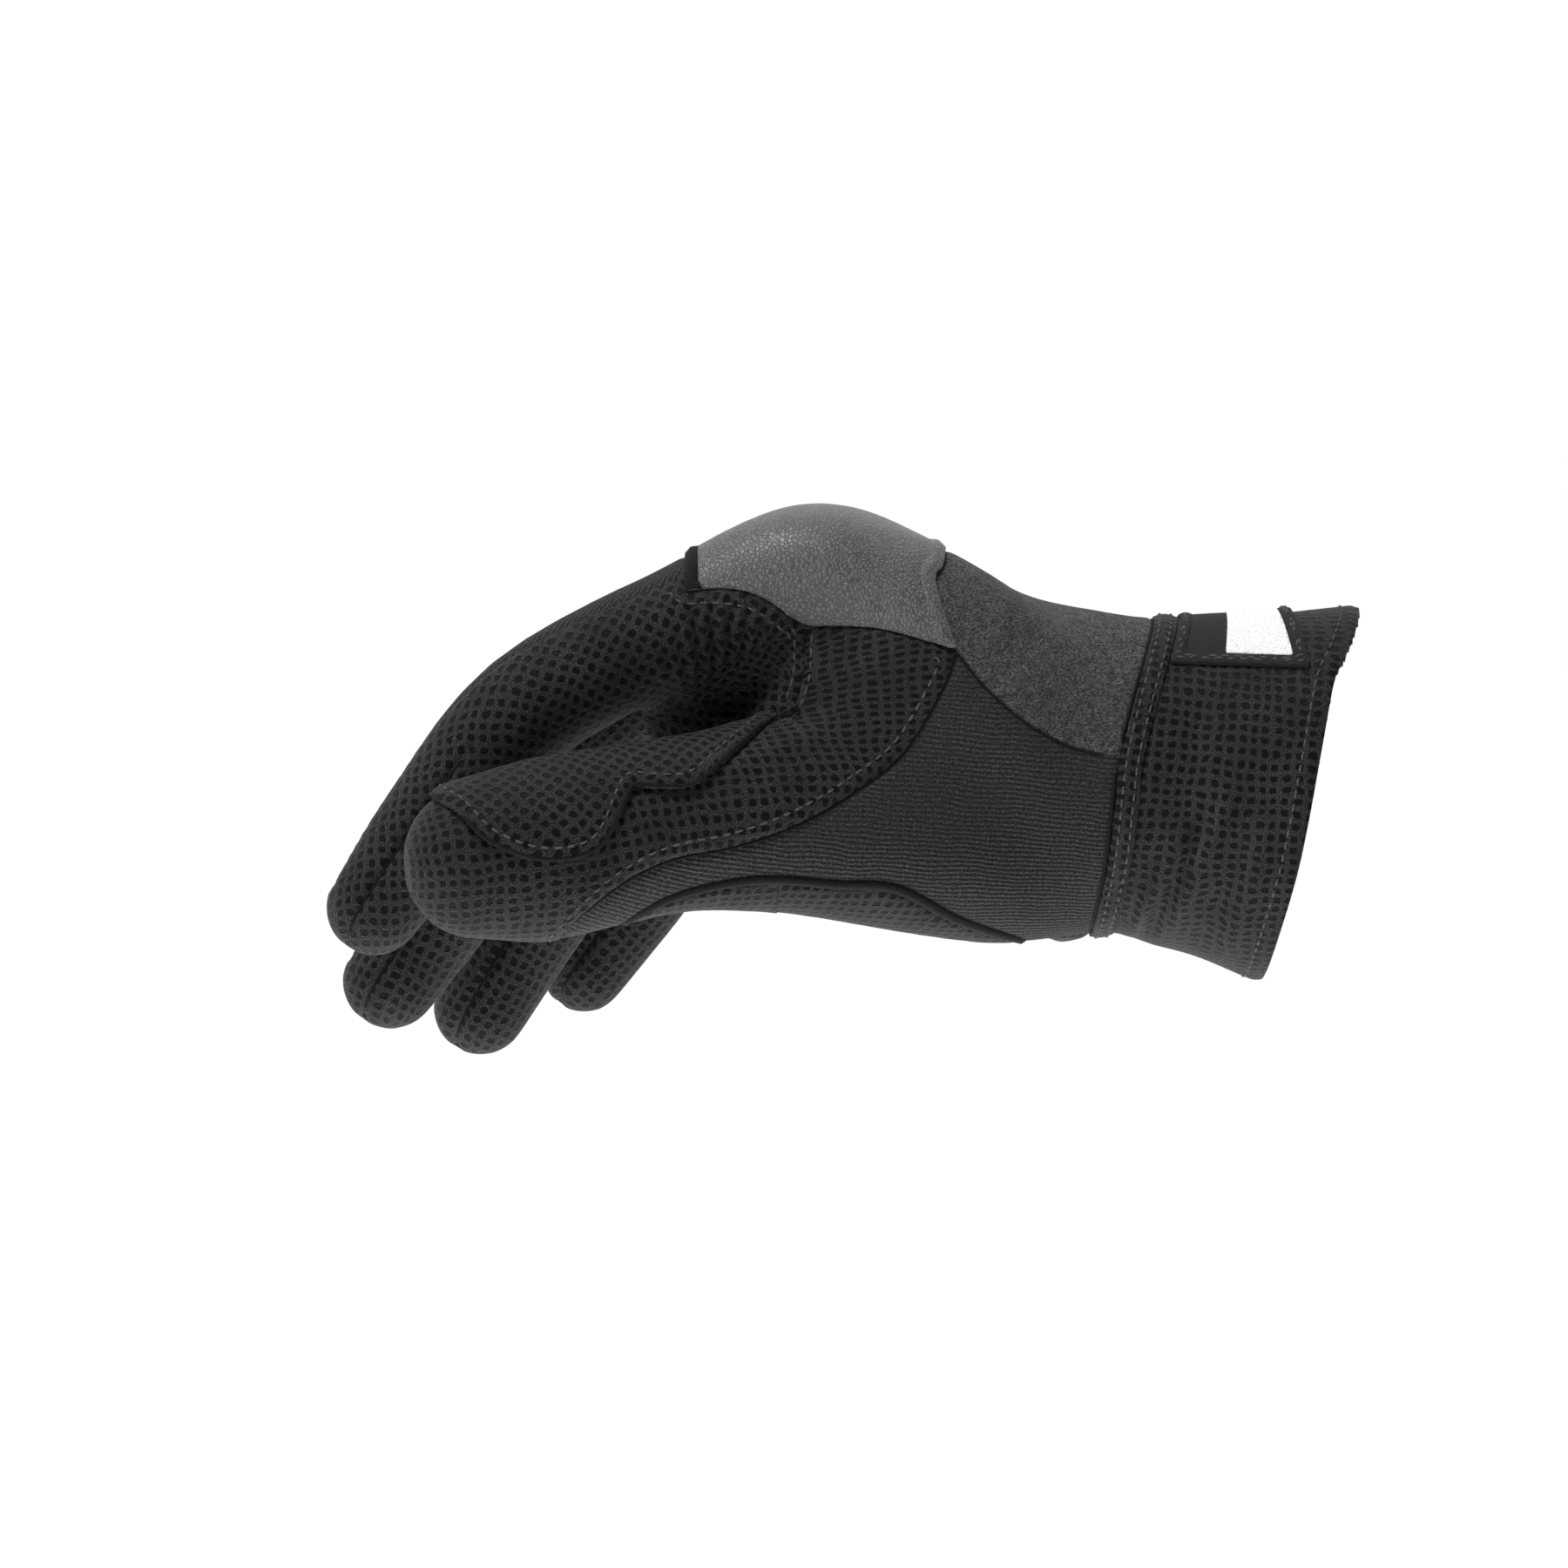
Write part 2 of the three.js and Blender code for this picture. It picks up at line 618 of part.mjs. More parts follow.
/** Largest connected body of a solid. */
function largestBody(whole) {
  const mesh = whole.getMesh();
  const parent = Array.from({ length: mesh.vertProperties.length / mesh.numProp }, (_, i) => i);
  const root = (i) => {
    while (parent[i] !== i) {
      parent[i] = parent[parent[i]];
      i = parent[i];
    }
    return i;
  };
  const triangles = mesh.triVerts;
  for (let i = 0; i < triangles.length; i += 3) {
    parent[root(triangles[i])] = root(triangles[i + 1]);
    parent[root(triangles[i + 2])] = root(triangles[i + 1]);
  }
  const sizes = new Map();
  for (const vertex of triangles) {
    sizes.set(root(vertex), (sizes.get(root(vertex)) ?? 0) + 1);
  }
  const [biggest] = [...sizes.entries()].sort((a, b) => b[1] - a[1])[0];
  const kept = [];
  for (let i = 0; i < triangles.length; i += 3) {
    if (root(triangles[i]) === biggest) {
      kept.push(triangles[i], triangles[i + 1], triangles[i + 2]);
    }
  }
  const geometry = new THREE.BufferGeometry();
  const points = [];
  for (let i = 0; i < parent.length; i += 1) {
    points.push(...mesh.vertProperties.slice(i * mesh.numProp, i * mesh.numProp + 3));
  }
  geometry.setAttribute('position', new THREE.Float32BufferAttribute(points, 3));
  geometry.setIndex(kept);
  const compact = geometry.toNonIndexed();
  return mergeVertices(compact, 1e-6);
}

const CLOTHS = {
  grip_mesh: { color: 0x3a3a3b, roughness: 0.85 },
  back_knit: { color: 0x3c3e41, roughness: 0.92 },
  side_knit: { color: 0x33363a, roughness: 0.92 },
  leather: { color: 0x262626, roughness: 0.42 },
  binding: { color: 0x1c1c1d, roughness: 0.75 },
  label: { color: 0xd8d8d6, roughness: 0.7 },
};

const group = new THREE.Group();
group.name = 'mechanic_glove';

/** Adds a piece to the glove under its plain name. */
function addPiece(name, whole, clothName) {
  const { color, roughness } = CLOTHS[clothName];
  const mesh = new THREE.Mesh(
    largestBody(whole),
    new THREE.MeshStandardMaterial({ color, roughness, metalness: 0, name: clothName }),
  );
  mesh.name = name;
  group.add(mesh);
}

const CLOTH_OF = {
  cuff: 'grip_mesh',
  knuckle_guard: 'leather',
  back_panel: 'back_knit',
  index_back: 'side_knit',
  middle_back: 'side_knit',
  ring_back: 'side_knit',
  little_back: 'side_knit',
  side_gusset: 'side_knit',
  thumb_panel: 'grip_mesh',
  thumb_saddle: 'grip_mesh',
  index_front: 'grip_mesh',
  middle_front: 'grip_mesh',
  ring_front: 'grip_mesh',
  little_front: 'grip_mesh',
};

let rest = form(0).subtract(form(-WALL));
for (const [name, makeRegion] of Object.entries(REGIONS)) {
  const { full, kept } = makeRegion();
  addPiece(name, rest.intersect(kept), CLOTH_OF[name]);
  rest = rest.subtract(full);
}
addPiece('palm_panel', rest, 'grip_mesh');

const trim = form(GAP + TRIM).subtract(form(GAP));
const patchOutline = [...line.patch, ...line.patchRear, v2(PATCH_REAR_AT, 0.19), v2(PATCH_FRONT_AT, 0.12)];
const patchZone = thumbZone(THUMB_ZONE).intersect(block(patchOutline, -FAR, FAR));
addPiece('thumb_patch', trim.intersect(patchZone), 'grip_mesh');

const within = (points, low, high) => points.filter((p) => p.x > low * REACH && p.x < high * REACH);
const palmWeltBand = band(within(line.palm, PALM_WELT.front, PALM_WELT.rear), WELT_WIDTH, -FAR, 0);
addPiece('palm_welt', trim.intersect(palmWeltBand).intersect(nearSide(0)), 'binding');
addPiece('back_welt', trim.intersect(band(line.guardRear, WELT_WIDTH, -FAR, FAR)), 'binding');
const guardFrontBlock = block([
  v2(LIMITS.guardFront, LIMITS.guardLow),
  v2(LIMITS.guardFront / 2, LIMITS.guardLow),
  v2(LIMITS.guardFront / 2, LIMITS.over),
  v2(LIMITS.guardFront, LIMITS.over),
], -FAR, FAR);
const guardEdge = behindGuardFront(-WELT_WIDTH / 2, WELT_WIDTH).intersect(guardFrontBlock);
addPiece('guard_binding', trim.intersect(guardEdge), 'binding');
const labelOutline = [
  v2(LABEL.xLow, LABEL.zLow),
  v2(LABEL.xHigh, LABEL.zLow),
  v2(LABEL.xHigh, LIMITS.over),
  v2(LABEL.xLow, LIMITS.over),
];
const labelBlock = block(labelOutline, -FAR, LABEL.yHigh * BREADTH);
addPiece('wrist_label', trim.intersect(labelBlock), 'label');
const bandLine = line.cuff.map((p) => p.clone().add(new THREE.Vector2(CUFF_BAND_WIDTH / 2, 0)));
const clearOfLabel = block(insetOutline(labelOutline, -GAP), -FAR, LABEL.yHigh * BREADTH + GAP);
const cuffBand = band(bandLine, CUFF_BAND_WIDTH, -FAR, FAR).subtract(clearOfLabel);
addPiece('cuff_band', trim.intersect(cuffBand), 'grip_mesh');

export default group;
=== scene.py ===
"""Visual model of a right-hand mechanic glove in its worn form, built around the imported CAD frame."""

import logging
import math
from dataclasses import dataclass, field
from enum import Enum
from typing import Callable, NamedTuple, Optional, Sequence, Union

import bpy
import numpy as np
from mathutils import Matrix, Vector
from mathutils.kdtree import KDTree

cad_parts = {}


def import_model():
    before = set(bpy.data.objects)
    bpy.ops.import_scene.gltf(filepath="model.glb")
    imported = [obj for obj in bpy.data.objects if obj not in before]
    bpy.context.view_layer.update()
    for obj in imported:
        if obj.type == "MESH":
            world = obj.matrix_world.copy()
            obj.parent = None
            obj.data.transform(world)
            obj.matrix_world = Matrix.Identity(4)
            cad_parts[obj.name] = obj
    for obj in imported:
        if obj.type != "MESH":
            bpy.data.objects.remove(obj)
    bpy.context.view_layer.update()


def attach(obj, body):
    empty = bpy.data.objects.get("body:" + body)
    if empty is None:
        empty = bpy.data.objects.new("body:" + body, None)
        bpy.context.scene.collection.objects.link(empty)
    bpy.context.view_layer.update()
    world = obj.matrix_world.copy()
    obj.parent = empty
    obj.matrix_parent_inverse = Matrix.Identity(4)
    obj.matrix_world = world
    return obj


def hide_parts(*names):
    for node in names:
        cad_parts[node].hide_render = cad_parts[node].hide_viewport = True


log = logging.getLogger("glove")

MM = 0.001
REACH = 190.0
BREADTH = 90.0
HEIGHT = 104.0
FINGER_RADIUS = 10.6
THUMB_RADIUS = 15.4
FAR = 400.0
TINY = 1e-12
NEAR_ZERO = 1e-6
UV_UNIT = 100.0

Array = np.ndarray
Field = Callable[[Array], Array]


class DigitRow(NamedTuple):
    """Section of a digit: centre in shares of the glove's sizes, half sizes in shares of the digit's radius."""

    x: float
    y: float
    z: float
    w: float
    h: float


class BodyRow(NamedTuple):
    """Section of the cuff and palm: centre, half sizes, lean, roll of the back, skew in plan and squareness."""

    x: float
    y: float
    z: float
    w: float
    h: float
    lean: float
    roll: float
    skew: float
    square: float


class Digit(Enum):
    """Digits and pads whose sections are stated in tables."""

    INDEX = "index"
    MIDDLE = "middle"
    RING = "ring"
    LITTLE = "little"
    THUMB = "thumb"
    HEEL = "heel"
    WEB = "web"


BODY_ROWS = (
    BodyRow(0.030, 0.000, 0.002, 0.382, 0.358, 0.262, 0.00, 0.00, 2.2),
    BodyRow(0.000, 0.000, 0.000, 0.378, 0.353, 0.256, 0.00, 0.00, 2.2),
    BodyRow(-0.074, 0.000, 0.017, 0.361, 0.320, 0.240, 0.00, 0.00, 2.2),
    BodyRow(-0.132, 0.000, 0.026, 0.344, 0.304, 0.210, 0.00, 0.00, 2.2),
    BodyRow(-0.185, 0.000, 0.039, 0.339, 0.288, 0.200, 0.00, 0.00, 2.2),
    BodyRow(-0.247, 0.000, 0.032, 0.367, 0.311, 0.100, 0.00, 0.00, 2.2),
    BodyRow(-0.316, 0.000, 0.122, 0.444, 0.253, 0.040, 0.04, 0.00, 2.3),
    BodyRow(-0.395, 0.000, 0.250, 0.483, 0.202, 0.000, 0.09, 0.04, 2.4),
    BodyRow(-0.474, 0.000, 0.337, 0.494, 0.173, 0.000, 0.10, 0.10, 2.5),
    BodyRow(-0.542, 0.000, 0.372, 0.483, 0.146, 0.000, 0.10, 0.16, 2.5),
    BodyRow(-0.589, 0.000, 0.360, 0.467, 0.125, 0.000, 0.10, 0.19, 2.4),
    BodyRow(-0.621, 0.000, 0.317, 0.433, 0.077, 0.000, 0.10, 0.20, 2.2),
)

DIGIT_ROWS: dict[Digit, tuple[DigitRow, ...]] = {
    Digit.INDEX: (
        DigitRow(-0.242, -0.189, 0.150, 1.10, 1.10),
        DigitRow(-0.400, -0.278, 0.317, 1.37, 1.37),
        DigitRow(-0.532, -0.344, 0.385, 1.19, 1.23),
        DigitRow(-0.640, -0.356, 0.312, 1.02, 1.06),
        DigitRow(-0.795, -0.371, 0.156, 0.97, 1.03),
        DigitRow(-0.892, -0.382, -0.062, 0.92, 0.96),
        DigitRow(-0.948, -0.391, -0.208, 0.82, 0.84),
    ),
    Digit.MIDDLE: (
        DigitRow(-0.242, -0.067, 0.150, 1.10, 1.10),
        DigitRow(-0.405, -0.094, 0.327, 1.37, 1.37),
        DigitRow(-0.542, -0.111, 0.394, 1.19, 1.23),
        DigitRow(-0.640, -0.114, 0.275, 1.02, 1.06),
        DigitRow(-0.782, -0.120, 0.070, 0.97, 1.03),
        DigitRow(-0.874, -0.124, -0.180, 0.92, 0.96),
        DigitRow(-0.938, -0.129, -0.348, 0.83, 0.85),
    ),
    Digit.RING: (
        DigitRow(-0.242, 0.067, 0.140, 1.10, 1.10),
        DigitRow(-0.389, 0.094, 0.308, 1.37, 1.37),
        DigitRow(-0.516, 0.122, 0.365, 1.17, 1.21),
        DigitRow(-0.600, 0.127, 0.224, 1.00, 1.04),
        DigitRow(-0.708, 0.133, 0.000, 0.95, 1.01),
        DigitRow(-0.796, 0.142, -0.235, 0.90, 0.94),
        DigitRow(-0.852, 0.151, -0.406, 0.82, 0.84),
    ),
    Digit.LITTLE: (
        DigitRow(-0.242, 0.178, 0.100, 1.05, 1.10),
        DigitRow(-0.368, 0.267, 0.231, 1.37, 1.46),
        DigitRow(-0.463, 0.333, 0.288, 1.11, 1.15),
        DigitRow(-0.522, 0.349, 0.169, 0.91, 0.94),
        DigitRow(-0.597, 0.371, 0.033, 0.87, 0.92),
        DigitRow(-0.683, 0.393, -0.177, 0.82, 0.86),
        DigitRow(-0.748, 0.411, -0.340, 0.75, 0.76),
    ),
    Digit.THUMB: (
        DigitRow(-0.232, -0.111, -0.045, 0.90, 1.46),
        DigitRow(-0.312, -0.195, -0.050, 0.98, 1.55),
        DigitRow(-0.395, -0.289, -0.048, 1.04, 1.45),
        DigitRow(-0.547, -0.456, -0.048, 0.94, 1.14),
        DigitRow(-0.663, -0.556, -0.069, 0.84, 1.01),
        DigitRow(-0.772, -0.640, -0.107, 0.82, 1.04),
        DigitRow(-0.843, -0.675, -0.122, 0.76, 0.90),
    ),
    Digit.HEEL: (
        DigitRow(-0.232, 0.156, -0.010, 0.90, 1.40),
        DigitRow(-0.347, 0.244, 0.015, 0.91, 1.38),
        DigitRow(-0.442, 0.289, 0.135, 0.84, 0.97),
    ),
    Digit.WEB: (
        DigitRow(-0.320, -0.310, 0.130, 0.75, 1.10),
        DigitRow(-0.420, -0.370, 0.165, 0.75, 1.15),
        DigitRow(-0.495, -0.375, 0.170, 0.60, 1.10),
        DigitRow(-0.570, -0.345, 0.175, 0.45, 1.00),
        DigitRow(-0.630, -0.320, 0.160, 0.36, 0.90),
    ),
}

FINGERS = (Digit.INDEX, Digit.MIDDLE, Digit.RING, Digit.LITTLE)
FRONTS = tuple(f"{digit.value}_front" for digit in FINGERS[1:])


class SeamPath(Enum):
    """Seams drawn on the side view, as shares of the reach along X and of the height along Z."""

    HEM = ((0.062, 0.480), (0.049, 0.354), (0.028, 0.259), (0.015, 0.209), (0.001, 0.085), (-0.013, -0.055),
           (-0.024, -0.154), (-0.039, -0.262), (-0.051, -0.352), (-0.066, -0.460))
    CUFF = ((-0.150, 0.420), (-0.161, 0.318), (-0.183, 0.189), (-0.199, 0.076), (-0.205, -0.006),
            (-0.212, -0.127), (-0.223, -0.243), (-0.235, -0.360))
    GUARD_LOW = ((-0.634, 0.371), (-0.602, 0.374), (-0.575, 0.368), (-0.552, 0.350), (-0.518, 0.309),
                 (-0.485, 0.306), (-0.441, 0.300), (-0.397, 0.279), (-0.366, 0.262))
    GUARD_REAR = ((-0.366, 0.262), (-0.375, 0.308), (-0.384, 0.356), (-0.388, 0.397), (-0.378, 0.430),
                  (-0.368, 0.600))
    BACK_GUSSET = ((-0.366, 0.262), (-0.339, 0.204), (-0.308, 0.149), (-0.273, 0.107), (-0.242, 0.083),
                   (-0.190, 0.064))
    THUMB_EDGE = ((-0.754, -0.251), (-0.714, -0.186), (-0.680, -0.144), (-0.642, -0.115), (-0.594, -0.098),
                  (-0.548, -0.073), (-0.510, -0.042), (-0.472, -0.001), (-0.419, 0.075), (-0.379, 0.195),
                  (-0.366, 0.262))
    PALM = ((-0.754, -0.300), (-0.698, -0.237), (-0.642, -0.186), (-0.564, -0.159), (-0.485, -0.168),
            (-0.428, -0.176), (-0.366, -0.233), (-0.309, -0.268), (-0.260, -0.290), (-0.200, -0.310))
    SADDLE_REAR = ((-0.518, 0.309), (-0.518, 0.262), (-0.520, 0.207), (-0.531, 0.144), (-0.535, 0.080))
    PATCH = ((-0.885, -0.010), (-0.859, -0.035), (-0.826, -0.089), (-0.773, -0.119), (-0.720, -0.097),
             (-0.692, -0.007))
    PATCH_REAR = ((-0.687, 0.010), (-0.653, 0.006), (-0.624, 0.014), (-0.583, 0.075), (-0.545, 0.135),
                  (-0.520, 0.150))


GUARD_FRONT = ((-0.641, -1.00), (-0.636, -0.40), (-0.625, 0.00), (-0.570, 0.36), (-0.510, 1.00))
BACK_STRIP_AT = 0.72
BACK_STRIP_NARROWING = 0.27
BACK_STRIP_START = 0.34
THUMB_START = -0.545 * REACH
UNDER_THUMB = -12.0
ROOT_GAP = 4.0
FLUSH_REACH = 2.5
FINGER_SEAM_AT = math.radians(14)
FINGER_SEAM_DEPTH = 1.2
FINGER_SEAM_WIDTH = 0.8
FINGER_SEAM_START = 0.76
THUMB_ZONE = 2.5


def smooth_rows(rows: Sequence[Sequence[float]], steps: int) -> Array:
    """Runs a smooth curve through table rows.

    Args:
        rows: Table rows of equal length.
        steps: Number of steps from one row to the next.

    Returns:
        The rows and the values between them, one per line.
    """
    table = np.array(rows, float)
    padded = np.vstack([table[:1], table, table[-1:]])
    lines = []
    for i in range(len(table) - 1):
        a, b, c, d = padded[i:i + 4]
        for t in np.arange(steps) / steps:
            lines.append(b + 0.5 * t * (c - a + t * (2 * a - 5 * b + 4 * c - d + t * (3 * (b - c) + d - a))))
    lines.append(table[-1])
    return np.array(lines)


def seam_line(seam: SeamPath, step: float = 1.5) -> Array:
    """Gives a seam as evenly spaced side-view points."""
    return even_points(smooth_rows(seam.value, 12) * (REACH, HEIGHT), step)


def even_points(points: Array, step: float) -> Array:
    """Spaces the points of a line evenly.

    Args:
        points: Line as rows of up to three coordinates, and whatever goes with each point after them.
        step: Wanted distance between the points.

    Returns:
        The new rows.
    """
    lengths = np.linalg.norm(np.diff(points[:, :3], axis=0), axis=1)
    along = np.concatenate([[0], np.cumsum(lengths)])
    wanted = np.linspace(0, along[-1], max(2, round(along[-1] / step) + 1))
    return np.stack([np.interp(wanted, along, column) for column in points.T], axis=1)


def unit(vectors: Array) -> Array:
    """Scales vectors to a length of 1."""
    return vectors / np.maximum(np.linalg.norm(vectors, axis=1), TINY)[:, None]


def segment_gap(flat: Array, a: Array, b: Array) -> Array:
    """Measures how far points in a plane are from a segment.

    Args:
        flat: The points.
        a: Start of the segment.
        b: End of the segment.

    Returns:
        Squared distances.
    """
    edge = b - a
    t = np.clip(((flat - a) @ edge) / max(float(edge @ edge), TINY), 0, 1)
    gap = flat - a - t[:, None] * edge
    return (gap * gap).sum(axis=1)


def outline_field(outline: Array, axes: tuple[int, int] = (0, 2)) -> Field:
    """Makes the signed distance to a closed outline.

    Args:
        outline: Corners in millimetres.
        axes: The two coordinates that the outline is drawn in.

    Returns:
        A field that is positive inside the outline.
    """
    starts = outline
    ends = np.roll(outline, -1, axis=0)

    def measure(points: Array) -> Array:
        """Measures the signed distance in millimetres."""
        flat = points[:, axes]
        nearest = np.full(len(flat), np.inf)
        inside = np.zeros(len(flat), bool)
        for a, b in zip(starts, ends):
            nearest = np.minimum(nearest, segment_gap(flat, a, b))
            crosses = (a[1] > flat[:, 1]) != (b[1] > flat[:, 1])
            with np.errstate(divide="ignore", invalid="ignore"):
                at = a[0] + (flat[:, 1] - a[1]) / (b[1] - a[1]) * (b[0] - a[0])
            inside ^= crosses & (flat[:, 0] < at)
        return np.where(inside, 1, -1) * np.sqrt(nearest)

    return measure


@dataclass
class Cloth:
    """Triangle surface in millimetres, with a normal at each point of the smooth form that it was cut from."""

    points: Array
    faces: Array
    normals: Array

    @classmethod
    def of(cls, points: Array, faces: Array) -> "Cloth":
        """Makes a cloth and measures its normals."""
        return cls(points, faces, cls.measure_normals(points, faces))

    @staticmethod
    def measure_normals(points: Array, faces: Array) -> Array:
        """Averages the face normals around each point.

        Args:
            points: Positions.
            faces: Triangles.

        Returns:
            One unit normal per point.
        """
        a, b, c = (points[faces[:, k]] for k in range(3))
        normal = np.cross(b - a, c - a)
        total = np.zeros_like(points)
        for k in range(3):
            for axis in range(3):
                total[:, axis] += np.bincount(faces[:, k], normal[:, axis], len(points))
        return unit(total)

    def compact(self) -> "Cloth":
        """Drops the points that no face uses."""
        used, faces = np.unique(self.faces, return_inverse=True)
        return Cloth(self.points[used], faces.reshape(-1, 3), self.normals[used])

    def split(self, measure: Field) -> tuple["Cloth", "Cloth"]:
        """Cuts the cloth along the zero line of a field."""
        return self.split_by(measure(self.points))

    def crossings(self, value: Array) -> tuple[Array, Array, Array, Array]:
        """Finds where the cloth's edges meet the zero line of the values.

        Args:
            value: One value per point.

        Returns:
            Faces that the line crosses, turned so that the lone corner comes first, whether that corner is
            positive, the crossed edges, and for each face the two edges that it uses.
        """
        positive = value > 0
        count = positive[self.faces].sum(axis=1)
        cut = self.faces[(count == 1) | (count == 2)]
        alone = positive[cut].sum(axis=1) == 1
        lone = np.argmax(positive[cut] == alone[:, None], axis=1)
        rolled = cut[np.arange(len(cut))[:, None], (lone[:, None] + np.arange(3)) % 3]
        pairs = np.sort(np.concatenate([rolled[:, [0, 1]], rolled[:, [0, 2]]]), axis=1)
        edges, where = np.unique(pairs, axis=0, return_inverse=True)
        return rolled, alone, edges, where.reshape(2, -1)

    def along_edges(self, value: Array, edges: Array) -> tuple[Array, Array]:
        """Places points where edges meet the zero line.

        Args:
            value: One value per point.
            edges: Pairs of points on either side of the line.

        Returns:
            The new points and their normals.
        """
        t = (value[edges[:, 0]] / (value[edges[:, 0]] - value[edges[:, 1]]))[:, None]
        points = self.points[edges[:, 0]] * (1 - t) + self.points[edges[:, 1]] * t
        normals = self.normals[edges[:, 0]] * (1 - t) + self.normals[edges[:, 1]] * t
        return points, normals

    def split_by(self, value: Array) -> tuple["Cloth", "Cloth"]:
        """Cuts the cloth along the zero line of values given at its points.

        Args:
            value: One value per point.

        Returns:
            The part where the values are positive and the rest.
        """
        value = np.where(np.abs(value) < NEAR_ZERO, NEAR_ZERO, value)
        count = (value > 0)[self.faces].sum(axis=1)
        rolled, alone, edges, where = self.crossings(value)
        fresh, fresh_normals = self.along_edges(value, edges)
        points = np.vstack([self.points, fresh])
        normals = np.vstack([self.normals, fresh_normals])
        first, second = where + len(self.points)
        tip = np.stack([rolled[:, 0], first, second], axis=1)
        base = np.concatenate([
            np.stack([first, rolled[:, 1], rolled[:, 2]], axis=1),
            np.stack([first, rolled[:, 2], second], axis=1),
        ])
        twice = np.concatenate([alone, alone])
        inside = np.concatenate([self.faces[count == 3], tip[alone], base[~twice]])
        outside = np.concatenate([self.faces[count == 0], tip[~alone], base[twice]])
        return Cloth(points, inside, normals).compact(), Cloth(points, outside, normals).compact()

    def contour(self, value: Array) -> list[tuple[Array, Array]]:
        """Follows the zero line of values given at the cloth's points.

        Args:
            value: One value per point.

        Returns:
            Lines, each as its points and their normals.
        """
        value = np.where(np.abs(value) < NEAR_ZERO, NEAR_ZERO, value)
        _, _, edges, where = self.crossings(value)
        points, normals = self.along_edges(value, edges)
        beside: dict[int, list[int]] = {}
        for a, b in where.T.tolist():
            beside.setdefault(a, []).append(b)
            beside.setdefault(b, []).append(a)
        seen: set[int] = set()
        lines = []
        for start in sorted(beside, key=lambda n: len(beside[n])):
            if start in seen:
                continue
            chain = [start]
            seen.add(start)
            onward = beside[start][:1]
            while onward:
                chain.append(onward[0])
                seen.add(onward[0])
                onward = [n for n in beside[chain[-1]] if n not in seen][:1]
            if start in beside[chain[-1]] and len(chain) > 3:
                chain.append(start)
            lines.append((points[chain], normals[chain]))
        return lines

    def biggest(self) -> "Cloth":
        """Keeps the largest connected part.

        Returns:
            The largest part of the cloth.
        """
        label = np.arange(len(self.points))
        while True:
            lowest = label[self.faces].min(axis=1)
            fresh = label.copy()
            for k in range(3):
                np.minimum.at(fresh, self.faces[:, k], lowest)
            fresh = fresh[fresh]
            if (fresh == label).all():
                break
            label = fresh
        owner = label[self.faces[:, 0]]
        names, sizes = np.unique(owner, return_counts=True)
        return Cloth(self.points, self.faces[owner == names[np.argmax(sizes)]], self.normals).compact()

    def edges(self) -> tuple[Array, Array]:
        """Lists the edges of the faces."""
        sides = np.sort(self.faces[:, [0, 1, 1, 2, 2, 0]].reshape(-1, 2), axis=1)
        return np.unique(sides, axis=0, return_counts=True)

    def rim(self) -> Array:
        """Finds the points on the cloth's open edges."""
        edges, counts = self.edges()
        return self.points[np.unique(edges[counts == 1])]

    def rim_distance(self, near: Optional[Field] = None) -> Array:
        """Measures how far each point is from the open edges.

        Args:
            near: Field that is positive at the edges to measure from; all of them without it.

        Returns:
            Distances in millimetres.
        """
        rim = self.rim()
        if near is not None:
            rim = rim[near(rim) > 0]
        tree = KDTree(len(rim))
        for i, point in enumerate(rim):
            tree.insert(point, i)
        tree.balance()
        return np.array([tree.find(point)[2] for point in self.points])

    def raised(self, amount: Union[float, Array]) -> "Cloth":
        """Moves the cloth outward."""
        move = np.broadcast_to(np.asarray(amount, float), (len(self.points),))
        return Cloth(self.points + self.normals * move[:, None], self.faces, self.normals)

    def neighbours(self) -> tuple[Array, Array, Array]:
        """Lists the edges both ways for averaging.

        Returns:
            Start points, end points and the number of neighbours of each point.
        """
        edges, _ = self.edges()
        starts = np.concatenate([edges[:, 0], edges[:, 1]])
        ends = np.concatenate([edges[:, 1], edges[:, 0]])
        return starts, ends, np.maximum(np.bincount(starts, minlength=len(self.points)), 1)

    def relaxed(self, rounds: int, strength: Union[float, Array]) -> "Cloth":
        """Evens out the surface by averaging neighbours.

        Args:
            rounds: Number of averaging rounds.
            strength: Share of each move, one value or one per point.

        Returns:
            The smoother cloth.
        """
        starts, ends, count = self.neighbours()
        points = self.points.copy()
        share = np.broadcast_to(np.asarray(strength, float), (len(points),))[:, None]
        for _ in range(rounds):
            mean = np.stack([np.bincount(starts, points[ends, k], len(points)) for k in range(3)], axis=1)
            points += share * (mean / count[:, None] - points)
        return Cloth.of(points, self.faces)


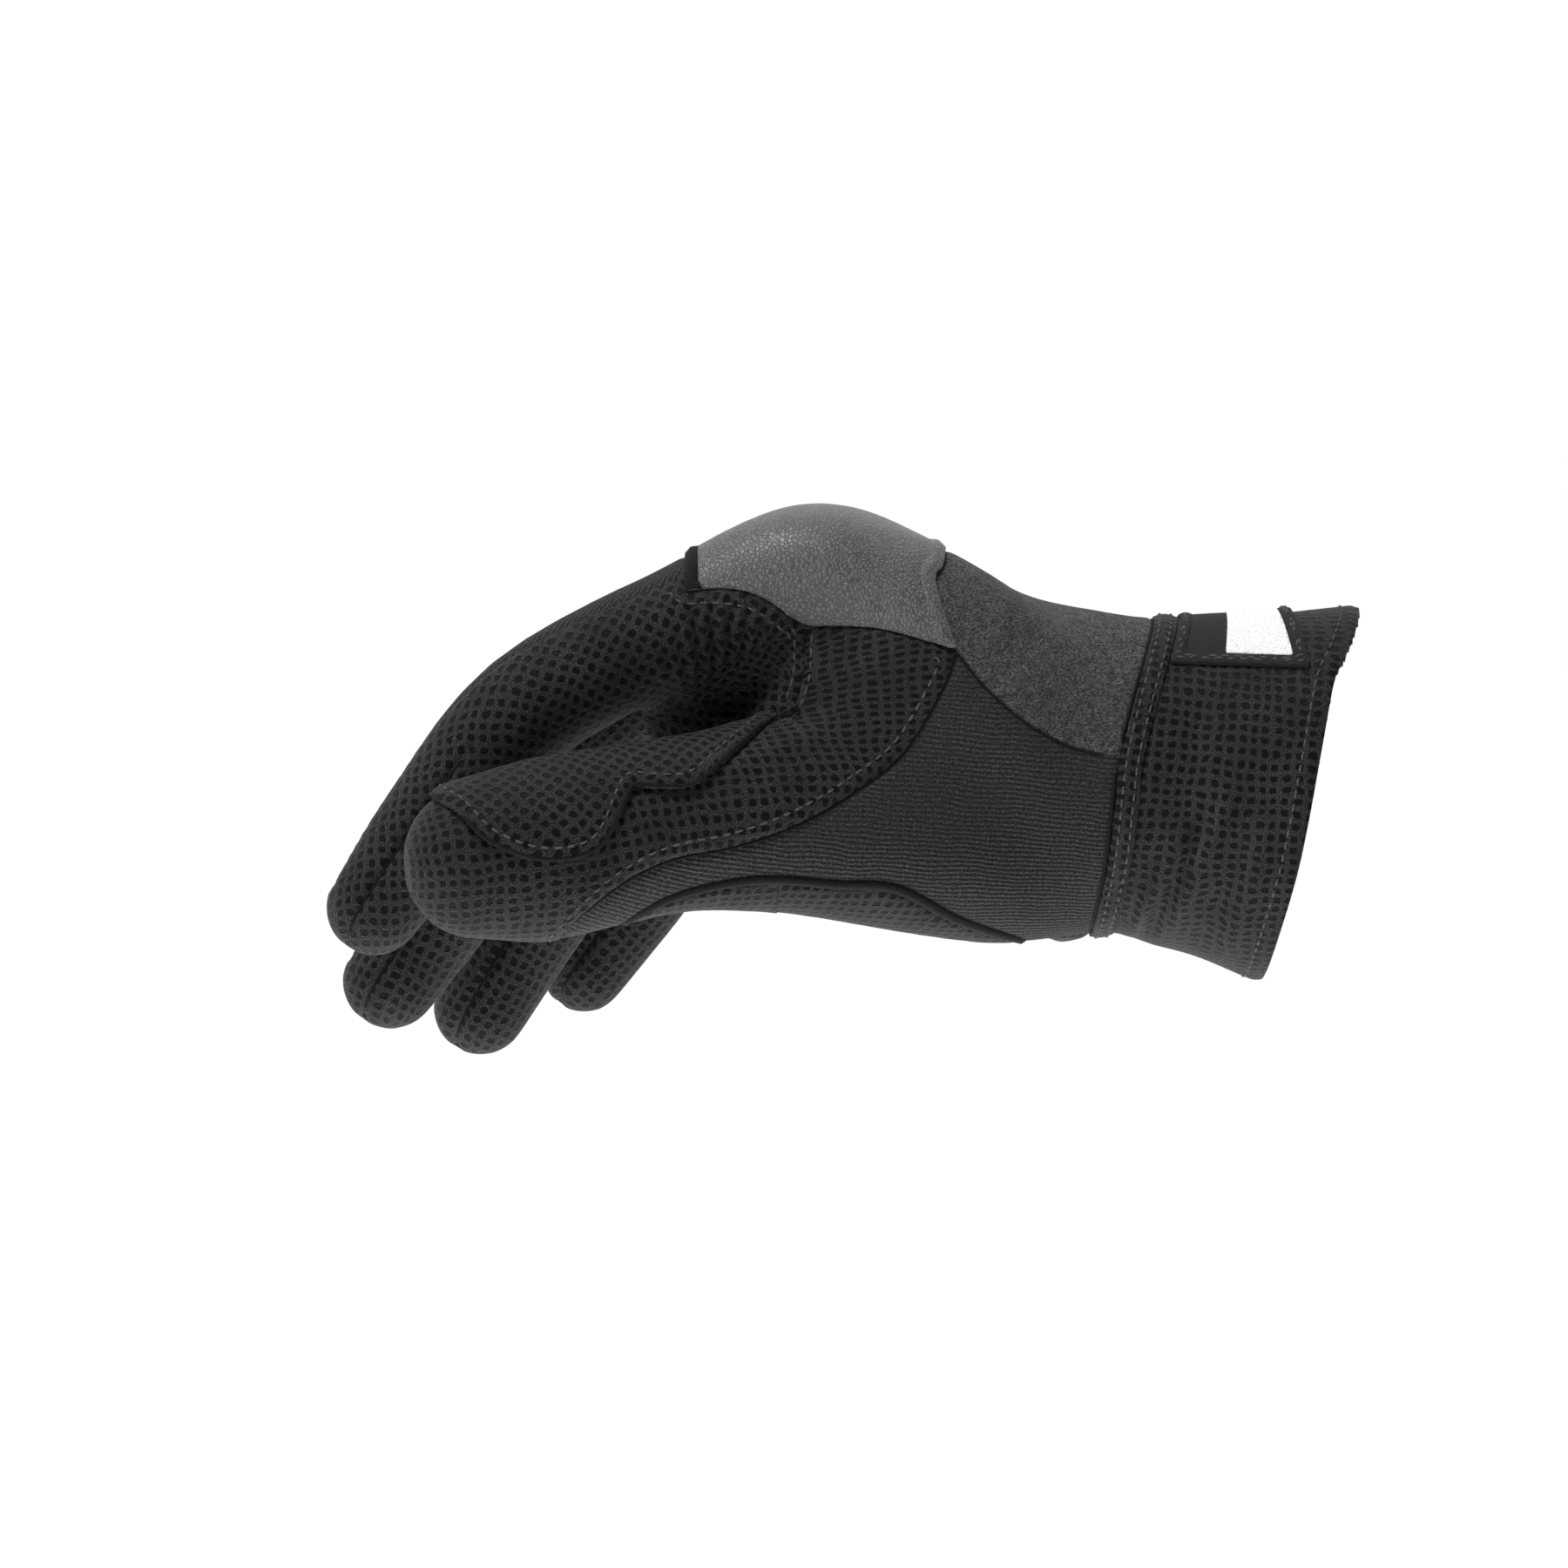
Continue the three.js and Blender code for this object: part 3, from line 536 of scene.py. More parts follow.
class Guide:
    """Centreline of a digit or of the hand, which gives places on the cloth as lengths along and around it."""

    def __init__(self, centres: Array, widths: Array, heights: Array, rounded: bool = True) -> None:
        """Stores the centreline.

        Args:
            centres: Points of the centreline in millimetres.
            widths: Half widths across the hand.
            heights: Half heights.
            rounded: Whether the last point is a rounded tip.
        """
        self.centres = centres
        self.widths = widths
        self.heights = heights
        self.rounded = rounded
        self.tangents = unit(np.gradient(centres, axis=0))
        self.sides = unit(np.array([0.0, 1.0, 0.0]) - self.tangents * self.tangents[:, 1:2])
        ups = np.cross(self.sides, self.tangents)
        self.ups = np.where(ups[:, 2:3] < 0, -ups, ups)
        steps = np.linalg.norm(np.diff(centres, axis=0), axis=1)
        self.lengths = np.concatenate([[0], np.cumsum(steps)])

    @classmethod
    def of_digit(cls, digit: Digit, steps: int = 8) -> "Guide":
        """Makes the guide of a digit from its table.

        Args:
            digit: Which digit.
            steps: Samples from one row to the next.

        Returns:
            The guide.
        """
        rows = smooth_rows(DIGIT_ROWS[digit], steps)
        radius = FINGER_RADIUS if digit in FINGERS else THUMB_RADIUS
        return cls(rows[:, :3] * (REACH, BREADTH, HEIGHT), rows[:, 3] * radius, rows[:, 4] * radius)

    @classmethod
    def of_body(cls, steps: int = 8) -> "Guide":
        """Makes the guide through the cuff and palm.

        Args:
            steps: Samples from one row to the next.

        Returns:
            The guide.
        """
        rows = smooth_rows(BODY_ROWS, steps)
        centres = rows[:, :3] * (REACH, BREADTH, HEIGHT)
        centres[:, 2] = np.linspace(0.0, 0.12 * HEIGHT, len(rows))
        return cls(centres, rows[:, 3] * BREADTH, rows[:, 4] * HEIGHT, rounded=False)

    def nearest(self, points: Array) -> Array:
        """Finds the nearest sample of the centreline.

        Args:
            points: Places in millimetres.

        Returns:
            Sample numbers.
        """
        best = np.full(len(points), np.inf)
        index = np.zeros(len(points), int)
        for i, centre in enumerate(self.centres):
            gap = points - centre
            distance = (gap * gap).sum(axis=1)
            closer = distance < best
            best[closer] = distance[closer]
            index[closer] = i
        return index

    def locate(self, points: Array) -> tuple[Array, Array, Array, Array]:
        """Gives places in the guide's own terms.

        Args:
            points: Places in millimetres.

        Returns:
            Length along, angle around from the thumb side, distance from the centreline and depth under the
            digit's own surface.
        """
        index = self.nearest(points)
        gap = points - self.centres[index]
        forward = (gap * self.tangents[index]).sum(axis=1)
        side = (gap * self.sides[index]).sum(axis=1)
        up = (gap * self.ups[index]).sum(axis=1)
        width, height = self.widths[index], self.heights[index]
        radius = (width + height) / 2
        reach = np.hypot(side, up)
        past = (index == len(self.centres) - 1) & self.rounded
        bent = radius * np.arcsin(np.clip(forward / radius, -1, 1))
        along = self.lengths[index] + np.where(past, bent, forward)
        share = np.sqrt((side / width) ** 2 + (up / height) ** 2 + np.where(past, (forward / radius) ** 2, 0))
        return along, np.arctan2(up, -side), reach, (1 - share) * radius


def add_mesh(name: str, points: Array, faces: Sequence) -> bpy.types.Object:
    """Adds a mesh object to the scene.

    Args:
        name: Name of the object.
        points: Positions in millimetres.
        faces: Corner numbers of the faces.

    Returns:
        The object.
    """
    mesh = bpy.data.meshes.new(name)
    mesh.from_pydata((points * MM).tolist(), [], faces)
    piece = bpy.data.objects.new(name, mesh)
    bpy.context.collection.objects.link(piece)
    return piece


def turn_faces_out(piece: bpy.types.Object) -> None:
    """Turns the faces of a closed mesh outwards.

    Args:
        piece: The object.
    """
    bpy.ops.object.select_all(action="DESELECT")
    piece.select_set(True)
    bpy.context.view_layer.objects.active = piece
    bpy.ops.object.mode_set(mode="EDIT")
    bpy.ops.mesh.select_all(action="SELECT")
    bpy.ops.mesh.normals_make_consistent(inside=False)
    bpy.ops.object.mode_set(mode="OBJECT")


def rising(x: Array, start: float, run: float) -> Array:
    """Makes a share that rises from 0 to 1."""
    return np.clip((x - start) / run, 0, 1)


@dataclass
class Form:
    """The glove's smooth outer form, made from the section tables. Ramps are a start and a run along X."""

    sides: int = 40
    steps: int = 5
    voxel: float = 0.78
    growth: float = 0.55
    least_growth: float = 0.35
    first_rounds: int = 12
    fork_rounds: int = 105
    palm_ramp: tuple[float, float] = (-124.0, 14.0)
    thumb_ramp: tuple[float, float] = (-134.0, 20.0)
    wrist_ramp: tuple[float, float] = (-30.0, -12.0)
    thumb_side: float = -30.0
    tip_rings: int = 7

    def build(self) -> Cloth:
        """Joins the lofts of the hand into one smooth surface.

        Returns:
            The whole form, closed at the cuff's mouth.
        """
        lofts = [self.add_loft("body_loft", self.body_rings())]
        for digit in Digit:
            lofts.append(self.add_loft(f"{digit.value}_loft", self.digit_rings(digit)))
        bpy.ops.object.select_all(action="DESELECT")
        for loft in lofts:
            loft.select_set(True)
        whole = lofts[0]
        bpy.context.view_layer.objects.active = whole
        bpy.ops.object.join()
        whole.data.remesh_voxel_size = self.voxel * MM
        bpy.ops.object.voxel_remesh()
        cloth = self.read(whole)
        bpy.data.objects.remove(whole)
        return self.soften(cloth)

    def soften(self, cloth: Cloth) -> Cloth:
        """Rounds the forks where the digits meet the palm.

        Args:
            cloth: Remeshed form.

        Returns:
            The softened form.
        """
        cloth = cloth.relaxed(self.first_rounds, 0.5)
        x, y, _ = cloth.points.T
        wrist = rising(x, *self.wrist_ramp)
        palm = rising(x, *self.palm_ramp) * wrist
        thumb = rising(x, *self.thumb_ramp) * wrist * (y < self.thumb_side)
        cloth = cloth.relaxed(self.fork_rounds, 0.5 * np.maximum(palm, thumb))
        cloth = cloth.raised(self.growth * np.maximum(palm, self.least_growth))
        return Cloth.of(cloth.points, cloth.faces)

    def read(self, shape: bpy.types.Object) -> Cloth:
        """Reads an object's mesh as triangles in millimetres.

        Args:
            shape: Mesh object.

        Returns:
            Its surface.
        """
        mesh = shape.data
        mesh.calc_loop_triangles()
        points = np.empty(len(mesh.vertices) * 3)
        mesh.vertices.foreach_get("co", points)
        faces = np.empty(len(mesh.loop_triangles) * 3, int)
        mesh.loop_triangles.foreach_get("vertices", faces)
        return Cloth.of(points.reshape(-1, 3) / MM, faces.reshape(-1, 3))

    def body_rings(self) -> Array:
        """Makes the rings of the cuff and palm.

        Returns:
            Rings of points, in order along the hand.
        """
        angle = np.linspace(0, 2 * math.pi, self.sides, endpoint=False)
        rings = []
        for row in smooth_rows(BODY_ROWS, self.steps):
            x, y, z, w, h, lean, roll, skew, square = row
            across = w * BREADTH * np.sign(np.cos(angle)) * np.abs(np.cos(angle)) ** (2 / square)
            up = h * HEIGHT * np.sign(np.sin(angle)) * np.abs(np.sin(angle)) ** (2 / square)
            beside = y * BREADTH + across
            rings.append(np.stack([
                x * REACH + lean * up + skew * (beside + BREADTH / 2),
                beside,
                z * HEIGHT + up - roll * across,
            ], axis=1))
        last = rings[-1]
        middle = last.mean(axis=0)
        rings.append(middle + (last - middle) * 0.6 - (0.02 * REACH, 0, 0))
        return np.array(rings)

    def digit_rings(self, digit: Digit) -> Array:
        """Makes the rings of a digit with its rounded tip.

        Args:
            digit: Which digit.

        Returns:
            Rings of points, in order along the digit.
        """
        guide = Guide.of_digit(digit, self.steps)
        angle = np.linspace(0, 2 * math.pi, self.sides, endpoint=False)[:, None]
        rings = []

        def ring(i: int, shift: float, shrink: float) -> Array:
            """Makes one ring, moved along and shrunk."""
            across = guide.sides[i] * np.cos(angle) * guide.widths[i]
            up = guide.ups[i] * np.sin(angle) * guide.heights[i]
            return guide.centres[i] + guide.tangents[i] * shift + (across + up) * shrink

        for i in range(len(guide.centres)):
            rings.append(ring(i, 0.0, 1.0))
        radius = (guide.widths[-1] + guide.heights[-1]) / 2
        for bend in np.linspace(0, math.pi / 2, self.tip_rings)[1:-1]:
            rings.append(ring(-1, radius * math.sin(bend), math.cos(bend)))
        return np.array(rings)

    def add_loft(self, name: str, rings: Array) -> bpy.types.Object:
        """Adds a closed mesh object through rings.

        Args:
            name: Name of the object.
            rings: Rings of points in millimetres.

        Returns:
            The object.
        """
        rows, sides = rings.shape[:2]
        faces = [tuple(range(sides))[::-1], tuple(range((rows - 1) * sides, rows * sides))]
        for i in range(rows - 1):
            for j in range(sides):
                k = (j + 1) % sides
                faces.append((i * sides + j, i * sides + k, (i + 1) * sides + k, (i + 1) * sides + j))
        shape = add_mesh(name, rings.reshape(-1, 3), faces)
        turn_faces_out(shape)
        return shape


Number = Union[float, "Value"]


class Graph:
    """Node tree of one material, with one method that makes nodes."""

    def __init__(self, name: str) -> None:
        """Starts an empty material.

        Args:
            name: Name of the material.
        """
        self.material = bpy.data.materials.new(name)
        self.material.use_nodes = True
        self.tree = self.material.node_tree
        self.tree.nodes.clear()

    def node(self, kind: str, inputs: Optional[dict] = None, output: Union[int, str] = 0,
             **settings: object) -> "Value":
        """Makes a node and fills its sockets.

        Args:
            kind: Blender's node type.
            inputs: Socket names or numbers with the values or links they take.
            output: Which output socket is wanted.
            **settings: Properties of the node.

        Returns:
            The wanted output.
        """
        made = self.tree.nodes.new(kind)
        for name, setting in settings.items():
            setattr(made, name, setting)
        for name, given in (inputs or {}).items():
            if isinstance(given, Value):
                self.tree.links.new(given.socket, made.inputs[name])
            else:
                made.inputs[name].default_value = given
        return Value(self, made.outputs[output] if len(made.outputs) else None)

    def place(self) -> "Value":
        """Gives the cloth's own coordinates."""
        uv = self.node("ShaderNodeUVMap", uv_map="cloth")
        return self.node("ShaderNodeVectorMath", {0: uv, 1: (UV_UNIT, UV_UNIT, UV_UNIT)}, operation="MULTIPLY")

    def solid_place(self) -> "Value":
        """Gives the place in space."""
        place = self.node("ShaderNodeTexCoord", output="Object")
        return self.node("ShaderNodeVectorMath", {0: place, 3: 1 / MM}, operation="SCALE")

    def split(self, vector: "Value") -> tuple["Value", "Value"]:
        """Separates a vector."""
        parts = self.node("ShaderNodeSeparateXYZ", {0: vector})
        return parts, Value(self, parts.socket.node.outputs[1])

    def noise(self, vector: "Value", scale: float, detail: float = 2.0, colour: bool = False) -> "Value":
        """Adds a noise texture."""
        return self.node("ShaderNodeTexNoise", {"Vector": vector, "Scale": scale, "Detail": detail},
                         output="Color" if colour else 0)

    def ramp(self, value: "Value", low: float, high: float, start: float = 0.0, end: float = 1.0) -> "Value":
        """Maps a range smoothly onto another."""
        return self.node("ShaderNodeMapRange", {"Value": value, "From Min": low, "From Max": high,
                                                "To Min": start, "To Max": end}, interpolation_type="SMOOTHSTEP")

    def tone(self, level: float, tint: tuple[float, float, float], factor: "Value") -> "Value":
        """Brightens and darkens a tinted grey."""
        return self.node("ShaderNodeVectorMath", {0: grey(level, tint)[:3], 3: factor}, operation="SCALE")

    def mix(self, share: Number, first: Union["Value", tuple], second: Union["Value", tuple]) -> "Value":
        """Mixes two colours."""
        return self.node("ShaderNodeMix", {"Factor": share, 6: first, 7: second}, output=2, data_type="RGBA")

    def finish(self, colour: "Value", roughness: Number, height: "Value", depth: float, sheen: float = 0.0,
               specular: float = 0.5) -> bpy.types.Material:
        """Closes the material with a principled surface.

        Args:
            colour: Base colour.
            roughness: Roughness.
            height: Relief between 0 and 1.
            depth: Depth of the relief in metres.
            sheen: Weight of the cloth's sheen.
            specular: Level of the specular reflection.

        Returns:
            The material.
        """
        bump = self.node("ShaderNodeBump", {"Height": height, "Distance": depth, "Strength": 1.0})
        surface = self.node("ShaderNodeBsdfPrincipled", {
            "Base Color": colour,
            "Roughness": roughness,
            "Normal": bump,
            "Sheen Weight": sheen,
            "Sheen Roughness": 0.5,
            "Specular IOR Level": specular,
        })
        self.node("ShaderNodeOutputMaterial", {"Surface": surface})
        return self.material


class Value:
    """Output socket with arithmetic."""

    def __init__(self, graph: Graph, socket: bpy.types.NodeSocket) -> None:
        """Wraps a socket."""
        self.graph = graph
        self.socket = socket

    def math(self, operation: str, *others: Number) -> "Value":
        """Adds a math node after this value."""
        inputs = {i: value for i, value in enumerate((self, *others))}
        return self.graph.node("ShaderNodeMath", inputs, operation=operation)

    def __add__(self, other: Number) -> "Value":
        """Adds."""
        return self.math("ADD", other)

    def __sub__(self, other: Number) -> "Value":
        """Subtracts."""
        return self.math("SUBTRACT", other)

    def __mul__(self, other: Number) -> "Value":
        """Multiplies."""
        return self.math("MULTIPLY", other)

    def __truediv__(self, other: Number) -> "Value":
        """Divides."""
        return self.math("DIVIDE", other)

    def __pow__(self, other: Number) -> "Value":
        """Raises to a power."""
        return self.math("POWER", other)


def grey(level: float, tint: tuple[float, float, float] = (1.0, 1.0, 1.0)) -> tuple[float, float, float, float]:
    """Makes a slightly tinted grey."""
    return (level * tint[0], level * tint[1], level * tint[2], 1.0)


@dataclass(frozen=True)
class DotMesh:
    """Grip cloth: grey coated mesh with round, dark, recessed dots."""

    pitch: float = 2.25
    radius: float = 0.30
    mesh_level: float = 0.0160
    dot_level: float = 0.0009
    turn: float = 0.0

    def material(self, name: str) -> bpy.types.Material:
        """Builds the finish.

        Args:
            name: Name of the material.

        Returns:
            The material.
        """
        g = Graph(name)
        place = g.place()
        drift = g.noise(place, 0.16, 2, colour=True)
        shifted = g.node("ShaderNodeVectorMath", {0: drift, 1: (0.5, 0.5, 0.5)}, operation="SUBTRACT")
        warped = g.node("ShaderNodeVectorMath", {0: shifted, 1: (2.4, 2.4, 0.0), 2: place}, operation="MULTIPLY_ADD")
        turned = g.node("ShaderNodeVectorRotate", {"Vector": warped, "Angle": math.radians(self.turn)},
                        rotation_type="Z_AXIS")
        u, v = g.split(turned)
        cell_u = (u / self.pitch).math("FRACT") - 0.5
        cell_v = (v / self.pitch).math("FRACT") - 0.5
        away = (cell_u.math("ABSOLUTE") ** 3.0 + cell_v.math("ABSOLUTE") ** 3.0) ** 0.3333
        rough_edge = (g.noise(place, 2.2, 2) - 0.5) * 0.16
        mesh = g.ramp(away + rough_edge, self.radius - 0.05, self.radius + 0.06)
        fibre = g.noise(place, 3.4, 4)
        patches = g.noise(place, 0.11, 1)
        level = g.ramp(fibre, 0.40, 0.68, 0.45, 2.8) * g.ramp(patches, 0.3, 0.7, 0.85, 1.15)
        cloth = g.tone(self.mesh_level, (1, 1, 1.02), level)
        dots = g.mix(fibre, grey(self.dot_level * 0.6), grey(self.dot_level * 1.5, (1.05, 1, 0.98)))
        colour = g.mix(mesh, dots, cloth)
        height = mesh * 0.65 + g.noise(place, 2.6, 3) * 0.35
        return g.finish(colour, mesh * 0.22 + 0.5, height, 0.00060, sheen=0.08, specular=0.07)


@dataclass(frozen=True)
class FleeceKnit:
    """Heather knit: dark blue-grey, brushed, with paler fibres."""

    level: float = 0.051

    def material(self, name: str) -> bpy.types.Material:
        """Builds the finish.

        Args:
            name: Name of the material.

        Returns:
            The material.
        """
        g = Graph(name)
        place = g.solid_place()
        fibres = g.node("ShaderNodeVectorMath", {0: place, 1: (1.0, 1.0, 1.8)}, operation="MULTIPLY")
        fleck = g.noise(fibres, 2.0, 4)
        soft = g.noise(place, 0.5, 3)
        level = g.ramp(fleck, 0.36, 0.68, 0.38, 2.1) * g.ramp(soft, 0.3, 0.7, 0.8, 1.2)
        colour = g.tone(self.level, (0.96, 1.0, 1.05), level)
        height = fleck * 0.6 + soft * 0.4
        return g.finish(colour, soft * 0.06 + 0.88, height, 0.00050, sheen=0.06, specular=0.10)


@dataclass(frozen=True)
class RibKnit:
    """Ribbed knit: fine ribs along the hand."""

    level: float = 0.0225
    pitch: float = 0.95

    def material(self, name: str) -> bpy.types.Material:
        """Builds the finish.

        Args:
            name: Name of the material.

        Returns:
            The material.
        """
        g = Graph(name)
        place = g.place()
        drift = g.noise(place, 0.12, 2)
        u, v = g.split(place)
        phase = (v + drift * 1.6) * (2 * math.pi / self.pitch)
        rib = phase.math("SINE") * 0.5 + 0.5
        loops = ((u + rib * 0.2) * (2 * math.pi / 0.75)).math("SINE") * 0.5 + 0.5
        yarn = g.node("ShaderNodeVectorMath", {0: place, 1: (0.7, 1.5, 1.0)}, operation="MULTIPLY")
        fleck = g.noise(yarn, 2.2, 4)
        level = (rib * 0.75 + loops * 0.20 + 0.52) * g.ramp(fleck, 0.38, 0.66, 0.5, 1.9)
        colour = g.tone(self.level, (0.93, 1.0, 1.08), level)
        height = rib * 0.55 + loops * 0.2 + fleck * 0.25
        return g.finish(colour, fleck * 0.1 + 0.82, height, 0.00028, sheen=0.05, specular=0.12)


@dataclass(frozen=True)
class Leather:
    """Smooth leather with a fine pebbled grain and a soft gloss."""

    level: float = 0.104

    def material(self, name: str) -> bpy.types.Material:
        """Builds the finish.

        Args:
            name: Name of the material.

        Returns:
            The material.
        """
        g = Graph(name)
        place = g.solid_place()
        bend = g.noise(place, 0.9, 2, colour=True)
        warped = g.node("ShaderNodeVectorMath", {0: bend, 1: (0.8, 0.8, 0.8), 2: place}, operation="MULTIPLY_ADD")
        cells = g.node("ShaderNodeTexVoronoi", {"Vector": warped, "Scale": 1.25}, feature="DISTANCE_TO_EDGE")
        pebble = g.ramp(cells, 0.01, 0.22)
        fine = g.noise(place, 2.8, 3)
        broad = g.noise(place, 0.08, 2)
        level = g.ramp(pebble, 0.0, 1.0, 0.55, 1.1) * g.ramp(fine, 0.35, 0.7, 0.9, 1.15)
        level = level * g.ramp(broad, 0.3, 0.7, 0.94, 1.06)
        colour = g.tone(self.level, (1.0, 0.99, 0.97), level)
        height = pebble * 0.7 + fine * 0.3
        rough = g.ramp(fine, 0.3, 0.7, 0.40, 0.50)
        return g.finish(colour, rough, height, 0.00015, specular=0.38)


@dataclass(frozen=True)
class Thread:
    """Thread, binding or woven tape in one tone with a fine twist."""

    level: float
    roughness: float = 0.75
    grain: float = 2.2
    gloss: float = 0.3

    def material(self, name: str) -> bpy.types.Material:
        """Builds the finish.

        Args:
            name: Name of the material.

        Returns:
            The material.
        """
        g = Graph(name)
        fine = g.noise(g.solid_place(), self.grain, 3)
        level = g.ramp(fine, 0.32, 0.7, 0.72, 1.3)
        colour = g.tone(self.level, (1.0, 1.0, 1.0), level)
        return g.finish(colour, fine * 0.1 + self.roughness, fine, 0.0002, sheen=self.gloss / 3, specular=self.gloss)


class Finish(Enum):
    """Finishes of the glove's pieces."""

    GRIP = "grip_mesh"
    BACK = "back_knit"
    SIDE = "side_knit"
    LEATHER = "leather"
    GRIP_SLANTED = "grip_mesh_slanted"
    BINDING = "binding"
    LABEL = "label"
    LABEL_FIELD = "label_field"
    THREAD = "thread"


SHARED_SLOTS = {Finish.GRIP_SLANTED: Finish.GRIP, Finish.LABEL_FIELD: Finish.LABEL}


class Wardrobe:
    """Makes each finish once."""

    MAKERS = {
        Finish.GRIP: DotMesh(),
        Finish.BACK: FleeceKnit(),
        Finish.SIDE: RibKnit(),
        Finish.LEATHER: Leather(),
        Finish.GRIP_SLANTED: DotMesh(turn=38.0),
        Finish.BINDING: Thread(0.007, gloss=0.1),
        Finish.LABEL: Thread(0.80, grain=3.0),
        Finish.LABEL_FIELD: Thread(0.018, grain=3.0, gloss=0.1),
        Finish.THREAD: Thread(0.054),
    }

    def __init__(self) -> None:
        """Starts with no material made."""
        self.made: dict[Finish, bpy.types.Material] = {}

    def get(self, finish: Finish) -> bpy.types.Material:
        """Gives a finish's material.

        Args:
            finish: Which finish.

        Returns:
            The material.
        """
        if finish not in self.made:
            self.made[finish] = self.MAKERS[finish].material(finish.value)
        return self.made[finish]


class Fold(NamedTuple):
    """Soft fold seen from the side: place and run in millimetres, direction in degrees, height."""

    x: float
    z: float
    turn: float
    length: float
    width: float
    height: float


FOLDS = (
    Fold(-104.0, 29.0, 66, 6.0, 0.8, 1.2),
    Fold(-106.6, 28.5, 71, 7.0, 0.8, 1.7),
    Fold(-109.2, 28.0, 76, 8.0, 0.8, 2.1),
    Fold(-111.8, 27.5, 81, 9.0, 0.8, 2.3),
    Fold(-114.5, 27.0, 86, 9.5, 0.8, 2.4),
    Fold(-117.3, 27.0, 92, 9.5, 0.8, 2.2),
    Fold(-120.2, 27.0, 98, 9.5, 0.9, 1.9),
    Fold(-123.4, 27.5, 105, 9.0, 1.0, 1.4),
    Fold(-127.0, 28.0, 112, 8.0, 1.2, 0.9),
    Fold(-110.0, 18.5, 50, 6.0, 3.6, -3.4),
    Fold(-84.0, 43.0, 75, 16.0, 5.0, -0.5),
    Fold(-97.0, 45.0, 60, 14.0, 7.0, 0.3),
    Fold(-31.0, -19.0, 62, 12.0, 2.0, 1.9),
    Fold(-27.0, -16.0, 64, 13.0, 1.7, -1.9),
    Fold(-23.0, -14.0, 66, 14.0, 2.0, 1.6),
    Fold(-18.0, -18.0, 70, 12.0, 2.2, -1.2),
    Fold(-13.5, -20.0, 72, 12.0, 2.2, 1.1),
    Fold(-34.5, -4.0, 74, 12.0, 2.0, 0.9),
    Fold(-24.0, 8.0, 80, 12.0, 2.6, -0.8),
    Fold(-104.0, 8.0, 25, 14.0, 2.2, 0.5),
    Fold(-110.0, 3.0, 20, 14.0, 2.0, -0.4),
    Fold(-60.0, 25.0, 40, 12.0, 3.5, -0.6),
)


@dataclass
class Panel:
    """One piece of the glove: what is cut for it and how it is dressed."""

    name: str
    finish: Finish
    guides: tuple[str, ...]
    nodes: tuple[str, ...] = ()
    lift: float = 0.0
    edge_depth: float = 0.55
    edge_width: float = 0.9
    thickness: float = 1.3


@dataclass
class Dressed:
    """A panel's cloth before and after shaping, with the distance of its points from its edges."""

    cut: Cloth
    rim: Array
    shaped: Cloth


class Line(NamedTuple):
    """Line on the cloth: points in millimetres and the cloth's normals there."""

    points: Array
    normals: Array

    def even(self, step: float) -> "Line":
        """Smooths the line and spaces its points evenly.

        Args:
            step: Wanted distance between the points.

        Returns:
            The new line.
        """
        both = np.hstack([self.points, self.normals])
        for _ in range(4):
            both[1:-1] = (both[:-2] + 2 * both[1:-1] + both[2:]) / 4
        both = even_points(both, step)
        return Line(both[:, :3], unit(both[:, 3:]))

    def length(self) -> float:
        """Measures the line."""
        return float(np.linalg.norm(np.diff(self.points, axis=0), axis=1).sum())

    def within(self, near: Field, shortest: float) -> list["Line"]:
        """Keeps the stretches where a field is positive.

        Args:
            near: The field.
            shortest: Length under which a stretch is dropped.

        Returns:
            The stretches.
        """
        kept = np.concatenate([[False], near(self.points) > 0, [False]])
        changes = np.flatnonzero(kept[1:] != kept[:-1])
        parts = [Line(self.points[a:b], self.normals[a:b]) for a, b in changes.reshape(-1, 2)]
        return [part for part in parts if len(part.points) > 2 and part.length() > shortest]


